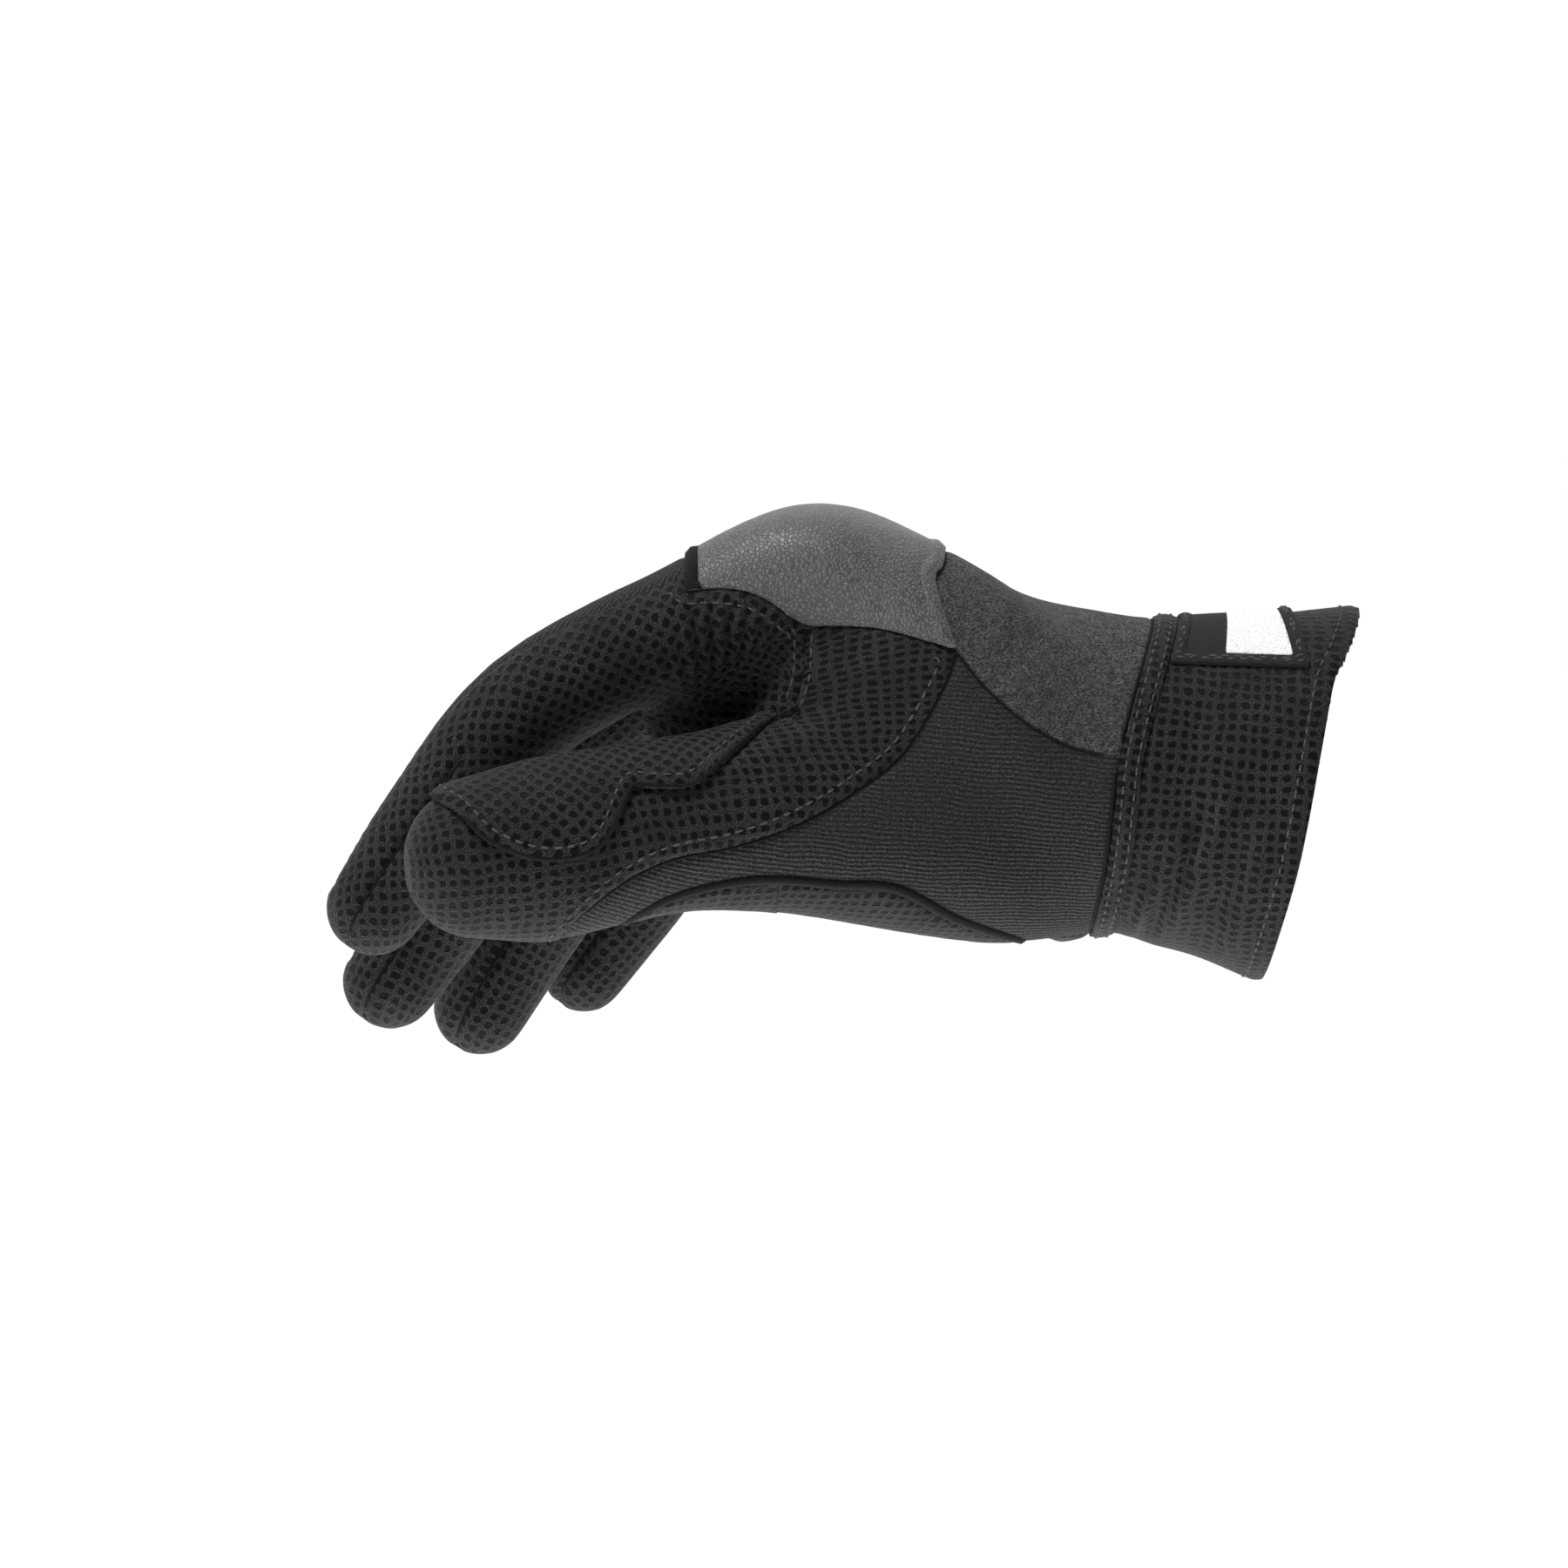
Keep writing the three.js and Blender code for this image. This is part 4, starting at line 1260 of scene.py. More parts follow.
@dataclass
class Sewing:
    """Makes threads, cords and other round lines on the cloth."""

    wardrobe: Wardrobe
    sides: int = 8

    def rings(self, line: Line, radius: Array, flatten: float) -> tuple[Array, Array]:
        """Wraps a closed tube around a line.

        Args:
            line: Its centreline.
            radius: Radius at each point.
            flatten: Height of the section as a share of its width.

        Returns:
            Points and triangles.
        """
        tangent = unit(np.gradient(line.points, axis=0))
        side = unit(np.cross(tangent, line.normals))
        up = np.cross(side, tangent)
        angle = np.arange(self.sides) / self.sides * 2 * math.pi
        round_part = side[:, None] * np.cos(angle)[:, None] + up[:, None] * np.sin(angle)[:, None] * flatten
        rings = line.points[:, None] + round_part * radius[:, None, None]
        count = len(rings)
        points = np.vstack([rings.reshape(-1, 3), line.points[:1], line.points[-1:]])
        j = np.arange(self.sides)
        k = (j + 1) % self.sides
        starts = (np.arange(count - 1) * self.sides)[:, None]
        quads = [starts + j, starts + k, starts + self.sides + k, starts + self.sides + j]
        quads = np.stack([q.ravel() for q in quads], axis=1)
        last = (count - 1) * self.sides
        ends = np.vstack([
            np.stack([np.full(self.sides, count * self.sides), k, j], axis=1),
            np.stack([np.full(self.sides, count * self.sides + 1), last + j, last + k], axis=1),
        ])
        return points, np.vstack([quads[:, [0, 1, 2]], quads[:, [0, 2, 3]], ends])

    def cord(self, line: Line, radius: float, sink: float) -> tuple[Array, Array]:
        """Lays a cord along a line, thinning to its ends.

        Args:
            line: Where it runs.
            radius: Its radius.
            sink: How deep its centre lies under the line.

        Returns:
            Points and triangles.
        """
        even = line.even(1.0)
        share = np.linspace(0, 1, len(even.points))
        taper = np.clip(np.minimum(share, 1 - share) * len(share) / 5, 0.25, 1)
        lowered = Line(even.points - even.normals * (sink + radius * (1 - taper))[:, None], even.normals)
        return self.rings(lowered, radius * taper, 1.0)

    def stitches(self, line: Line, pitch: float, length: float, radius: float) -> list[tuple[Array, Array]]:
        """Lays a row of stitches along a line.

        Args:
            line: Where the row runs.
            pitch: Distance from one stitch to the next.
            length: Length of a stitch.
            radius: Radius of the thread.

        Returns:
            Points and triangles of each stitch.
        """
        even = line.even(pitch / 5)
        reach = round(5 * length / pitch)
        made = []
        for start in range(0, len(even.points) - reach, 5):
            points = even.points[start:start + reach + 1]
            normals = even.normals[start:start + reach + 1]
            share = np.linspace(0, 1, len(points))
            bulge = np.sqrt(np.clip(1 - (2 * share - 1) ** 2, 0.05, 1))
            raised = points + normals * ((bulge - 0.75) * radius * 1.6)[:, None]
            made.append(self.rings(Line(raised, normals), radius * bulge, 0.8))
        return made

    def add(self, name: str, parts: Sequence[tuple[Array, Array]], finish: Finish) -> bpy.types.Object:
        """Adds parts to the scene as one object.

        Args:
            name: Name of the object.
            parts: Points and triangles of each part.
            finish: Its finish.

        Returns:
            The object.
        """
        offsets = np.cumsum([0] + [len(points) for points, _ in parts])
        points = np.vstack([points for points, _ in parts])
        faces = np.vstack([faces + offset for (_, faces), offset in zip(parts, offsets)])
        piece = add_mesh(name, points, faces.tolist())
        piece.data.shade_smooth()
        piece.data.materials.append(self.wardrobe.get(finish))
        turn_faces_out(piece)
        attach(piece, "root")
        log.info("%s: %d parts", name, len(parts))
        return piece


@dataclass
class Dresser:
    """Turns cut cloths into finished Blender objects."""

    TURNS = {"index": 38.0, "middle": 8.0, "ring": 0.0, "little": -6.0}

    wardrobe: Wardrobe
    own_depth: float = 2.5
    guides: dict[str, Guide] = field(default_factory=dict)

    def __post_init__(self) -> None:
        """Prepares the guides."""
        self.guides = {digit.value: Guide.of_digit(digit) for digit in Digit}
        self.guides["body"] = Guide.of_body()

    def folds(self, cloth: Cloth) -> Array:
        """Adds up the folds over a cloth's near side.

        Args:
            cloth: The cloth.

        Returns:
            Outward move of each point in millimetres.
        """
        x, z = cloth.points[:, 0], cloth.points[:, 2]
        facing = np.clip(-cloth.normals[:, 1] * 2.0, 0, 1)
        total = np.zeros(len(x))
        for fold in FOLDS:
            turn = math.radians(fold.turn)
            run = (x - fold.x) * math.cos(turn) + (z - fold.z) * math.sin(turn)
            across = (z - fold.z) * math.cos(turn) - (x - fold.x) * math.sin(turn)
            total += fold.height * np.exp(-(across / fold.width) ** 2 - (run / fold.length) ** 4)
        return total * facing

    def seams(self, cloth: Cloth) -> Array:
        """Sinks the seam along the near side of each finger.

        Args:
            cloth: The cloth.

        Returns:
            Outward move of each point in millimetres.
        """
        total = np.zeros(len(cloth.points))
        for digit in FINGERS:
            guide = self.guides[digit.value]
            along, angle, reach, depth = guide.locate(cloth.points)
            across = (angle - FINGER_SEAM_AT) * reach
            started = rising(along / guide.lengths[-1], FINGER_SEAM_START, 0.1)
            total -= np.exp(-(across / FINGER_SEAM_WIDTH) ** 2) * started * (np.abs(depth) < self.own_depth)
        return total * FINGER_SEAM_DEPTH

    def coordinates(self, cloth: Cloth, names: Sequence[str]) -> Array:
        """Lays the cloth's own coordinates over each face.

        Args:
            cloth: The cloth.
            names: Guides that it may follow; each face takes the one whose surface is nearest. The palm's far
                half is laid flat instead.

        Returns:
            Coordinates of each face corner in millimetres.
        """
        corners = cloth.points[cloth.faces]
        middle = corners.mean(axis=1)
        found = [self.guides[name].locate(middle) for name in names]
        owner = np.argmin(np.abs(np.stack([f[3] for f in found])), axis=0)
        laid = np.zeros((len(corners), 3, 2))
        for number, name in enumerate(names):
            mine = owner == number
            if not mine.any():
                continue
            middle_angle = found[number][1][mine]
            slant = math.radians(self.TURNS.get(name, 0.0))
            for k in range(3):
                along, angle, reach, _ = self.guides[name].locate(corners[mine, k])
                turn = np.mod(angle - middle_angle + math.pi, 2 * math.pi) - math.pi
                around = (middle_angle + turn) * reach
                laid[mine, k, 0] = along * math.cos(slant) - around * math.sin(slant)
                laid[mine, k, 1] = along * math.sin(slant) + around * math.cos(slant)
        if names == PALM_GUIDES:
            far = (owner == names.index("body")) & (middle[:, 1] > 0)
            laid[far, :, 0] = -corners[far, :, 0]
            laid[far, :, 1] = corners[far, :, 1] + corners[far, :, 2]
        return laid

    def dress(self, panel: Panel, cloth: Cloth, flush: Optional[Field] = None) -> Dressed:
        """Shapes a cut cloth and adds it to the scene.

        Args:
            panel: How it is dressed.
            cloth: The cut cloth.
            flush: Field of 0 to 1 that tells where the panel's edge doesn't sink.

        Returns:
            The cloth before and after shaping.
        """
        rim = cloth.rim_distance()
        edge = np.exp(-(rim / panel.edge_width) ** 2)
        if flush is not None:
            edge *= 1 - flush(cloth.points)
        lift = panel.lift + self.folds(cloth) - panel.edge_depth * edge
        if panel.name == "palm_panel" or panel.name in FRONTS:
            lift = lift + self.seams(cloth)
        shaped = cloth.raised(lift)
        laid = self.coordinates(cloth, panel.guides)
        piece = add_mesh(f"visual_{panel.name}", shaped.points, shaped.faces.tolist())
        layer = piece.data.uv_layers.new(name="cloth")
        layer.data.foreach_set("uv", (laid / UV_UNIT).ravel())
        piece.data.shade_smooth()
        piece.data.materials.append(self.wardrobe.get(panel.finish))
        wall = piece.modifiers.new("wall", "SOLIDIFY")
        wall.thickness = panel.thickness * MM
        wall.offset = -1
        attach(piece, "root")
        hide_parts(*panel.nodes)
        SHARED_SLOTS.get(panel.finish, panel.finish).value
        log.info("%s: %d faces", panel.name, len(shaped.faces))
        return Dressed(cloth, rim, shaped)


class Cutter:
    """Cuts the glove's form into its panels along the seams."""

    def __init__(self) -> None:
        """Measures the seams once."""
        self.line = {seam: seam_line(seam) for seam in SeamPath}

    def outline(self, *parts: Union[Array, tuple[float, float]]) -> Array:
        """Chains seam lines and single corners, given in shares, into an outline.

        Args:
            *parts: Lines in millimetres and corners in shares.

        Returns:
            The outline in millimetres.
        """
        rows = []
        for part in parts:
            if isinstance(part, tuple):
                rows.append(np.array([[part[0] * REACH, part[1] * HEIGHT]]))
            else:
                rows.append(part)
        return np.vstack(rows)

    def near_side(self) -> Field:
        """Makes the field of the side seen from the thumb.

        Returns:
            A field that is positive on the near side of the thumb's centreline in plan.
        """
        middle = np.array([(row.x * REACH, row.y * BREADTH) for row in DIGIT_ROWS[Digit.THUMB]])
        corners = np.vstack([[FAR, middle[0, 1]], middle, [-FAR, middle[-1, 1]], [-FAR, -FAR], [FAR, -FAR]])
        return outline_field(corners, (0, 1))

    def guard_front(self) -> Field:
        """Makes the field behind the guard's front edge in plan.

        Returns:
            A field that is positive behind the edge.
        """
        edge = smooth_rows(GUARD_FRONT, 8) * (REACH, BREADTH)
        corners = np.vstack([edge, [FAR, edge[-1, 1]], [FAR, edge[0, 1]]])
        return outline_field(corners, (0, 1))

    def thumb_zone(self) -> Field:
        """Makes the field around the thumb's own surface."""
        guide = Guide.of_digit(Digit.THUMB)
        return lambda points: guide.locate(points)[3] + THUMB_ZONE

    def sides(self, digit: Digit) -> tuple[float, float]:
        """Finds the planes between a finger and its neighbours.

        Args:
            digit: Which finger.

        Returns:
            Their places across the glove.
        """
        depth = [DIGIT_ROWS[d][4].y * BREADTH for d in FINGERS]
        i = FINGERS.index(digit)
        low = -FAR if i == 0 else (depth[i - 1] + depth[i]) / 2
        high = FAR if i == len(FINGERS) - 1 else (depth[i] + depth[i + 1]) / 2
        return low, high

    def back_strip(self, digit: Digit) -> Field:
        """Makes the field of the knit strip along a finger's back.

        Args:
            digit: Which finger.

        Returns:
            A field that is positive on the strip.
        """
        guide = Guide.of_digit(digit)
        start = BACK_STRIP_START * guide.lengths[-1]
        low, high = self.sides(digit)

        def measure(points: Array) -> Array:
            """Is positive on the strip."""
            index = guide.nearest(points)
            gap = points - guide.centres[index]
            up = (gap * guide.ups[index]).sum(axis=1)
            forward = (gap * guide.tangents[index]).sum(axis=1)
            height = guide.heights[index]
            past = rising(guide.lengths[index] / guide.lengths[-1], 0.50, 0.3)
            above = up - (BACK_STRIP_AT + BACK_STRIP_NARROWING * past) * height
            end = 0.45 * height - forward
            sides = np.minimum(points[:, 1] - low, high - points[:, 1])
            return np.minimum(np.minimum(above, end), np.minimum(sides, guide.lengths[index] - start))

        return measure

    def fields(self) -> dict[str, Field]:
        """Lists the panels' fields in cutting order.

        Returns:
            A field for each panel but the palm, which takes the rest.
        """
        line = self.line
        low = line[SeamPath.GUARD_LOW]
        rear = line[SeamPath.SADDLE_REAR]
        near = self.near_side()
        front = self.guard_front()
        zone = self.thumb_zone()
        cuff = outline_field(self.outline(line[SeamPath.CUFF], (0.3, -0.5), (0.3, 0.6)))
        guard = outline_field(self.outline((-0.80, 0.371), low, line[SeamPath.GUARD_REAR][1:], (-0.80, 0.6)))
        back = outline_field(self.outline(line[SeamPath.GUARD_REAR][::-1], line[SeamPath.BACK_GUSSET][1:],
                                          (-0.10, 0.06), (-0.10, 0.6)))
        gusset = outline_field(self.outline(line[SeamPath.THUMB_EDGE], line[SeamPath.BACK_GUSSET][1:],
                                            (-0.10, 0.06), (-0.10, -0.33), line[SeamPath.PALM][::-1]))
        edge = line[SeamPath.THUMB_EDGE][::-1][1:]
        thumb = outline_field(self.outline(
            low[low[:, 0] > rear[0, 0]], edge[edge[:, 0] > -0.60 * REACH],
            (-0.60, 0.0), (-0.545, 0.135), rear[rear[:, 1] > 0.145 * HEIGHT][::-1]))
        fields: dict[str, Field] = {
            "cuff": cuff,
            "knuckle_guard": lambda p: np.minimum(guard(p), front(p)),
            "back_panel": back,
        }
        for digit in FINGERS:
            fields[f"{digit.value}_back"] = self.back_strip(digit)
        fields["side_gusset"] = lambda p: np.minimum(gusset(p), near(p))
        fields["thumb_panel"] = lambda p: np.maximum(np.minimum(thumb(p), near(p)),
                                                     np.minimum(zone(p), THUMB_START - p[:, 0]))
        for digit in FINGERS[1:]:
            fields[f"{digit.value}_front"] = self.front_part(digit)
        return fields

    def front_part(self, digit: Digit) -> Field:
        """Makes the field of a finger's front and sides.

        Args:
            digit: Which finger.

        Returns:
            A field that is positive ahead of the finger's root.
        """
        low, high = self.sides(digit)
        front = self.guard_front()
        return lambda p: np.minimum(-ROOT_GAP - front(p), np.minimum(p[:, 1] - low, high - p[:, 1]))

    def flush(self) -> Field:
        """Makes the field of the cuts that aren't seams, under the thumb and at the fingers' roots.

        Returns:
            A field that is 1 at those cuts and falls to 0 around them.
        """
        front = self.guard_front()
        beyond = self.sides(Digit.MIDDLE)[0]

        def measure(points: Array) -> Array:
            """Measures how flush the cut is."""
            under = (points[:, 2] < UNDER_THUMB) * np.exp(-((points[:, 0] - THUMB_START) / FLUSH_REACH) ** 2)
            roots = (points[:, 1] > beyond) * np.exp(-((front(points) + ROOT_GAP) / FLUSH_REACH) ** 2)
            return np.maximum(under, roots)

        return measure

    def patch_field(self) -> Field:
        """Makes the field of the second layer on the thumb."""
        return outline_field(self.outline(self.line[SeamPath.PATCH], self.line[SeamPath.PATCH_REAR],
                                          (-0.54, 0.19), (-0.88, 0.12)))

    def along(self, *seams: SeamPath, reach: float) -> Field:
        """Makes the field of the places near some seams, seen from the side.

        Args:
            *seams: The seams.
            reach: How far from them.

        Returns:
            A field that is positive near them.
        """
        def measure(points: Array) -> Array:
            """Measures how far inside the reach a point is."""
            flat = points[:, (0, 2)]
            nearest = np.full(len(flat), np.inf)
            for seam in seams:
                line = self.line[seam]
                for a, b in zip(line[:-1], line[1:]):
                    nearest = np.minimum(nearest, segment_gap(flat, a, b))
            return reach - np.sqrt(nearest)

        return measure

    def along_front(self, reach: float) -> Field:
        """Makes the field of the places near the guard's front edge, seen from above."""
        front = self.guard_front()
        return lambda points: reach - np.abs(front(points))


PALM_GUIDES = ("index", "middle", "ring", "little", "thumb", "body")
PANELS = (
    Panel("cuff", Finish.GRIP, ("body",), ("cuff",)),
    Panel("knuckle_guard", Finish.LEATHER, ("body",), ("knuckle_guard",), lift=0.5),
    Panel("back_panel", Finish.BACK, ("body",), ("back_panel",)),
    *(Panel(f"{digit.value}_back", Finish.SIDE, (digit.value,), (f"{digit.value}_back",), edge_depth=0.4)
      for digit in FINGERS),
    Panel("side_gusset", Finish.SIDE, ("body",), ("side_gusset",)),
    Panel("thumb_panel", Finish.GRIP, ("thumb",), ("thumb_panel",), lift=0.4, edge_depth=0.9, edge_width=0.7),
    *(Panel(name, Finish.GRIP, PALM_GUIDES, (name,), lift=0.2) for name in FRONTS),
    Panel("palm_panel", Finish.GRIP, PALM_GUIDES, ("palm_panel", "thumb_saddle", "index_front"), lift=0.2),
)
PATCH = Panel("thumb_patch", Finish.GRIP_SLANTED, ("thumb",), ("thumb_patch",), lift=2.0, thickness=1.3)
CUFF_BAND = Panel("cuff_band", Finish.GRIP, ("body",), ("cuff_band",), lift=0.9, thickness=1.0)
GUARD_BINDING = Panel("guard_binding", Finish.BINDING, ("body",), ("guard_binding",), lift=1.1, thickness=0.8)
BACK_WELT = Panel("back_welt", Finish.LEATHER, ("body",), ("back_welt",), lift=1.1, thickness=0.8)
LABEL = Panel("wrist_label", Finish.LABEL_FIELD, ("body",), ("wrist_label",), lift=0.75, thickness=0.5,
              edge_depth=0.1)
LABEL_BLOCK = Panel("label_block", Finish.LABEL, ("body",), lift=0.95, thickness=0.3, edge_depth=0.05)
LABEL_HEM = Panel("label_hem", Finish.LABEL_FIELD, ("body",), lift=1.2, thickness=0.4, edge_depth=0.3,
                  edge_width=0.5)


@dataclass
class Glove:
    """The whole glove."""

    wardrobe: Wardrobe
    stitch_pitch: float = 2.5
    stitch_length: float = 1.9
    thread_radius: float = 0.22
    cord_depth: float = 3.5
    made: dict[str, Dressed] = field(default_factory=dict)

    def __post_init__(self) -> None:
        """Prepares the tools."""
        self.cutter = Cutter()
        self.dresser = Dresser(self.wardrobe)
        self.sewing = Sewing(self.wardrobe)

    def build(self) -> None:
        """Makes the form, cuts it, dresses the panels and sews them."""
        form = Form().build()
        hem = self.cutter.line[SeamPath.HEM]
        mouth = outline_field(self.cutter.outline(hem, (-1.4, -0.7), (-1.4, 0.8)))
        rest, _ = form.split(mouth)
        log.info("form: %d faces", len(rest.faces))
        fields = self.cutter.fields()
        for panel in PANELS:
            if panel.name in fields:
                cloth, rest = rest.split(fields[panel.name])
            else:
                cloth = rest
            self.wear(panel, cloth)
        self.add_patch()
        self.add_strips()
        self.add_label()
        self.add_cords()
        self.add_stitches()

    def wear(self, panel: Panel, cloth: Cloth) -> Dressed:
        """Dresses a panel and remembers it.

        Args:
            panel: The panel.
            cloth: Its cut cloth.

        Returns:
            The dressed panel.
        """
        cut_flush = panel.name in ("thumb_panel", "palm_panel", *FRONTS)
        flush = self.cutter.flush() if cut_flush else None
        self.made[panel.name] = self.dresser.dress(panel, cloth.biggest(), flush)
        return self.made[panel.name]

    def add_patch(self) -> None:
        """Adds the second layer on the thumb."""
        patch, _ = self.made["thumb_panel"].cut.split(self.cutter.patch_field())
        self.wear(PATCH, patch)

    def strip(self, name: str, near: Field, width: float) -> Cloth:
        """Cuts a strip along one edge of a panel.

        Args:
            name: The panel.
            near: Field that is positive at that edge.
            width: Width of the strip.

        Returns:
            The strip.
        """
        cloth = self.made[name].cut
        strip, _ = cloth.split_by(width - cloth.rim_distance(near))
        return strip

    def add_strips(self) -> None:
        """Adds the double strip of the cuff and the bound edges of the guard."""
        cutter = self.cutter
        self.wear(CUFF_BAND, self.strip("cuff", cutter.along(SeamPath.CUFF, reach=0.8), 4.4))
        self.wear(BACK_WELT, self.strip("knuckle_guard", cutter.along(SeamPath.GUARD_REAR, reach=0.8), 3.2))
        self.wear(GUARD_BINDING, self.strip("knuckle_guard", cutter.along_front(0.8), 2.8))

    def add_label(self) -> None:
        """Adds the label with its plain pale block and its folded edges."""
        outer = outline_field(self.cutter.outline((-0.149, 0.239), (-0.008, 0.231), (-0.0205, 0.337),
                                                  (-0.012, 0.6), (-0.134, 0.6), (-0.133, 0.328)))
        block = outline_field(self.cutter.outline((-0.092, 0.254), (-0.0245, 0.250), (-0.034, 0.337),
                                                  (-0.030, 0.6), (-0.090, 0.6), (-0.086, 0.332)))
        label, _ = self.made["cuff"].cut.split(lambda p: np.minimum(outer(p), 0.16 * BREADTH - p[:, 1]))
        made = self.wear(LABEL, label)
        pale, _ = made.cut.split(lambda p: np.minimum(block(p), 0.13 * BREADTH - p[:, 1]))
        self.wear(LABEL_BLOCK, pale)
        hem, _ = made.cut.split_by(2.3 - made.rim)
        self.wear(LABEL_HEM, hem)

    def lines(self, name: str, inset: float, near: Optional[Field], shortest: float = 5.0) -> list[Line]:
        """Finds the lines at a distance inside a panel's edges.

        Args:
            name: The panel.
            inset: Distance from the edge.
            near: Field that is positive where the line is wanted, or none for all of it.
            shortest: Length under which a stretch is dropped.

        Returns:
            The lines on the shaped panel.
        """
        made = self.made[name]
        found = [Line(*line) for line in made.shaped.contour(made.rim - inset)]
        if near is None:
            return [line for line in found if line.length() > shortest]
        return [part for line in found for part in line.within(near, shortest)]

    def finger_seams(self) -> list[Line]:
        """Finds the seams along the near side of the fingers.

        Returns:
            The lines on the shaped panels.
        """
        found = []
        for digit in FINGERS:
            made = self.made.get(f"{digit.value}_front", self.made["palm_panel"])
            guide = self.dresser.guides[digit.value]
            _, angle, _, _ = guide.locate(made.cut.points)

            def beside(points: Array, guide: Guide = guide) -> Array:
                """Is positive on the near side of the finger's own surface."""
                along, turn, _, depth = guide.locate(points)
                on_side = np.cos(turn - FINGER_SEAM_AT) * 9
                begun = along - (FINGER_SEAM_START + 0.03) * guide.lengths[-1]
                return np.minimum(np.minimum(begun, self.cord_depth - np.abs(depth)), on_side)

            for points, normals in made.shaped.contour(np.sin(angle - FINGER_SEAM_AT)):
                found += Line(points, normals).within(beside, 8.0)
        return found

    def add_cords(self) -> None:
        """Adds the raised cord along the palm's seam and dark cords along the panels' turned edges and the fingers'
        seams; the dark cord round the thumb patch is partly its raised edge and partly painted shade in the groove
        under it.
        """
        near = self.cutter.along(SeamPath.PALM, reach=1.5)
        parts = [self.sewing.cord(line, 1.3, 0.25) for line in self.lines("side_gusset", 0.5, near, 12.0)]
        cord = self.sewing.add("visual_palm_welt", parts, Finish.BINDING)
        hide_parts("palm_welt")
        edges = (
            # Dark cord round the thumb patch: partly the patch's raised edge, partly painted shade in the groove
            # under that edge.
            ("thumb_patch", 0.35, 0.42, self.cutter.along(SeamPath.PATCH, SeamPath.PATCH_REAR, reach=1.8)),
            ("side_gusset", 0.3, 0.32, self.cutter.along(SeamPath.BACK_GUSSET, SeamPath.THUMB_EDGE, reach=1.5)),
            ("side_gusset", 0.5, 0.55, self.cutter.along(SeamPath.CUFF, reach=1.5)),
            ("back_panel", 0.4, 0.40, self.cutter.along(SeamPath.CUFF, reach=1.5)),
        )
        turned = [self.sewing.cord(line, 0.3, 0.05) for line in self.finger_seams()]
        for name, inset, radius, place in edges:
            turned += [self.sewing.cord(line, radius, 0.1) for line in self.lines(name, inset, place, 8.0)]
        self.sewing.add("visual_turned_edges_and_painted_edge_shade", turned, Finish.BINDING)

    def add_stitches(self) -> None:
        """Adds the rows of stitches."""
        near = self.cutter.along
        rows = (
            ("thumb_panel", 2.7, near(SeamPath.THUMB_EDGE, reach=4.0)),
            ("thumb_panel", 1.5, near(SeamPath.SADDLE_REAR, reach=2.5)),
            ("palm_panel", 1.8, near(SeamPath.SADDLE_REAR, reach=2.8)),
            ("palm_panel", 2.8, near(SeamPath.GUARD_LOW, reach=4.2)),
            ("thumb_patch", 2.3, near(SeamPath.PATCH, SeamPath.PATCH_REAR, reach=3.8)),
            ("back_welt", 1.6, None),
            ("guard_binding", 1.4, None),
            ("cuff", 3.4, near(SeamPath.HEM, reach=5.2)),
            ("cuff_band", 1.1, None),
            ("label_hem", 0.85, None),
        )
        parts = []
        for name, inset, field_near in rows:
            for line in self.lines(name, inset, field_near):
                parts += self.sewing.stitches(line, self.stitch_pitch, self.stitch_length, self.thread_radius)
        self.sewing.add("visual_stitches", parts, Finish.THREAD)


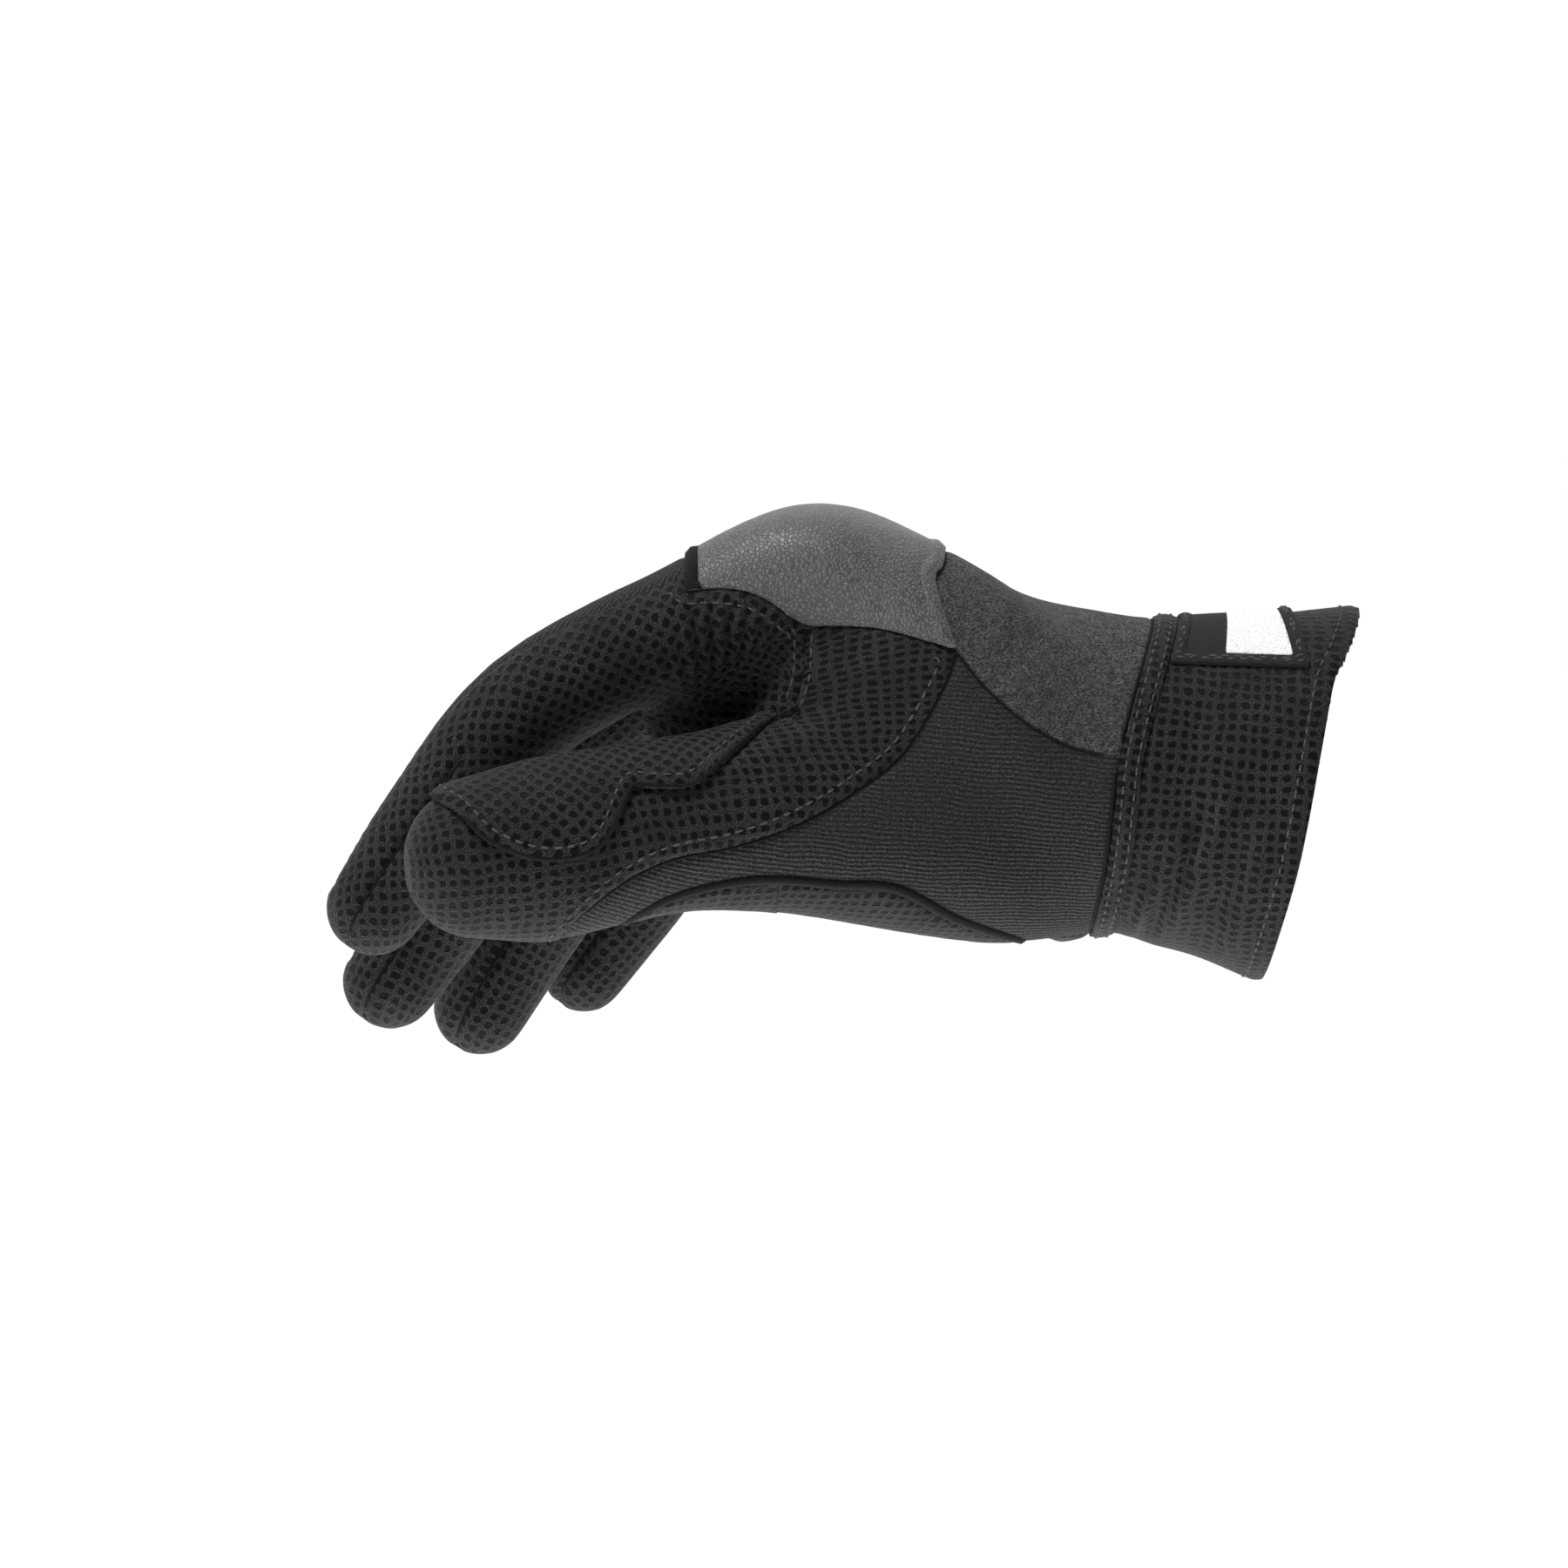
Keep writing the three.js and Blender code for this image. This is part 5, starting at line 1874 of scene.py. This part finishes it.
@dataclass
class Studio:
    """Pale floor and wall, soft lights and the camera at the photo's angle."""

    distance: float = 1.5
    centre: tuple[float, float, float] = (-0.1022, 0.0, 0.0019)
    span: float = 0.3051
    surroundings: float = 0.07
    floor_glow: float = 1.3
    wall_glow: float = 1.03
    sensor: float = 36.0

    def build(self) -> None:
        """Adds everything around the glove."""
        self.add_backdrop("floor", (0, 0, -0.45), (0, 0, 0), self.floor_glow)
        self.add_backdrop("wall", (0, 0.9, 0), (math.pi / 2, 0, 0), self.wall_glow)
        self.add_light("key", (-0.35, -0.35, 0.95), 0.4, 13.0)
        self.add_light("fill", (-0.55, -0.40, -0.40), 0.4, 2.2)
        self.add_light("low", (-0.16, -0.05, -0.44), 0.35, 2.8)
        self.add_world()
        self.add_camera()

    def add_backdrop(self, name: str, place: tuple[float, float, float], turn: tuple[float, float, float],
                     glow: float) -> None:
        """Adds a large pale sheet that glows evenly.

        Args:
            name: Name of the sheet.
            place: Its middle in metres.
            turn: Its rotation.
            glow: Its brightness.
        """
        bpy.ops.object.select_all(action="DESELECT")
        bpy.ops.mesh.primitive_plane_add(size=6, location=place, rotation=turn)
        sheet = bpy.context.object
        sheet.name = name
        g = Graph(name)
        place_on = g.node("ShaderNodeTexCoord", output="Object")
        tone = g.ramp(g.noise(place_on, 3.0, 2), 0.3, 0.7, 0.97, 1.0)
        colour = g.node("ShaderNodeCombineColor", {0: tone, 1: tone, 2: tone})
        surface = g.node("ShaderNodeBsdfPrincipled", {
            "Base Color": (0, 0, 0, 1),
            "Roughness": 1.0,
            "Specular IOR Level": 0.0,
            "Emission Color": colour,
            "Emission Strength": glow,
        })
        g.node("ShaderNodeOutputMaterial", {"Surface": surface})
        sheet.data.materials.append(g.material)

    def add_light(self, name: str, place: tuple[float, float, float], size: float, power: float) -> None:
        """Adds a soft square light aimed at the glove.

        Args:
            name: Name of the light.
            place: Its place in metres.
            size: Side of the square.
            power: Power in watts.
        """
        bpy.ops.object.select_all(action="DESELECT")
        bpy.ops.object.light_add(type="AREA", location=place)
        light = bpy.context.object
        light.name = name
        light.data.size = size
        light.data.energy = power
        aim = Vector(self.centre) - Vector(place)
        light.rotation_euler = aim.to_track_quat("-Z", "Y").to_euler()

    def add_world(self) -> None:
        """Sets dim, even surroundings."""
        world = bpy.data.worlds.new("surroundings")
        world.use_nodes = True
        world.node_tree.nodes["Background"].inputs["Color"].default_value = (1, 1, 1, 1)
        world.node_tree.nodes["Background"].inputs["Strength"].default_value = self.surroundings
        bpy.context.scene.world = world
        bpy.context.scene.view_settings.view_transform = "Standard"

    def add_camera(self) -> None:
        """Sets the camera on the photo's side, level with the glove."""
        x, _, z = self.centre
        bpy.ops.object.select_all(action="DESELECT")
        bpy.ops.object.camera_add(location=(x, -self.distance, z), rotation=(math.pi / 2, 0, 0))
        camera = bpy.context.object
        camera.data.sensor_width = self.sensor
        camera.data.lens = self.sensor * self.distance / self.span
        camera.data.clip_start = 0.05
        bpy.context.scene.camera = camera


def main() -> None:
    """Builds the glove and its studio."""
    logging.basicConfig(level=logging.INFO, format="%(name)s %(message)s")
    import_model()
    wardrobe = Wardrobe()
    Glove(wardrobe).build()
    Studio().build()


if __name__ == "__main__":
    main()
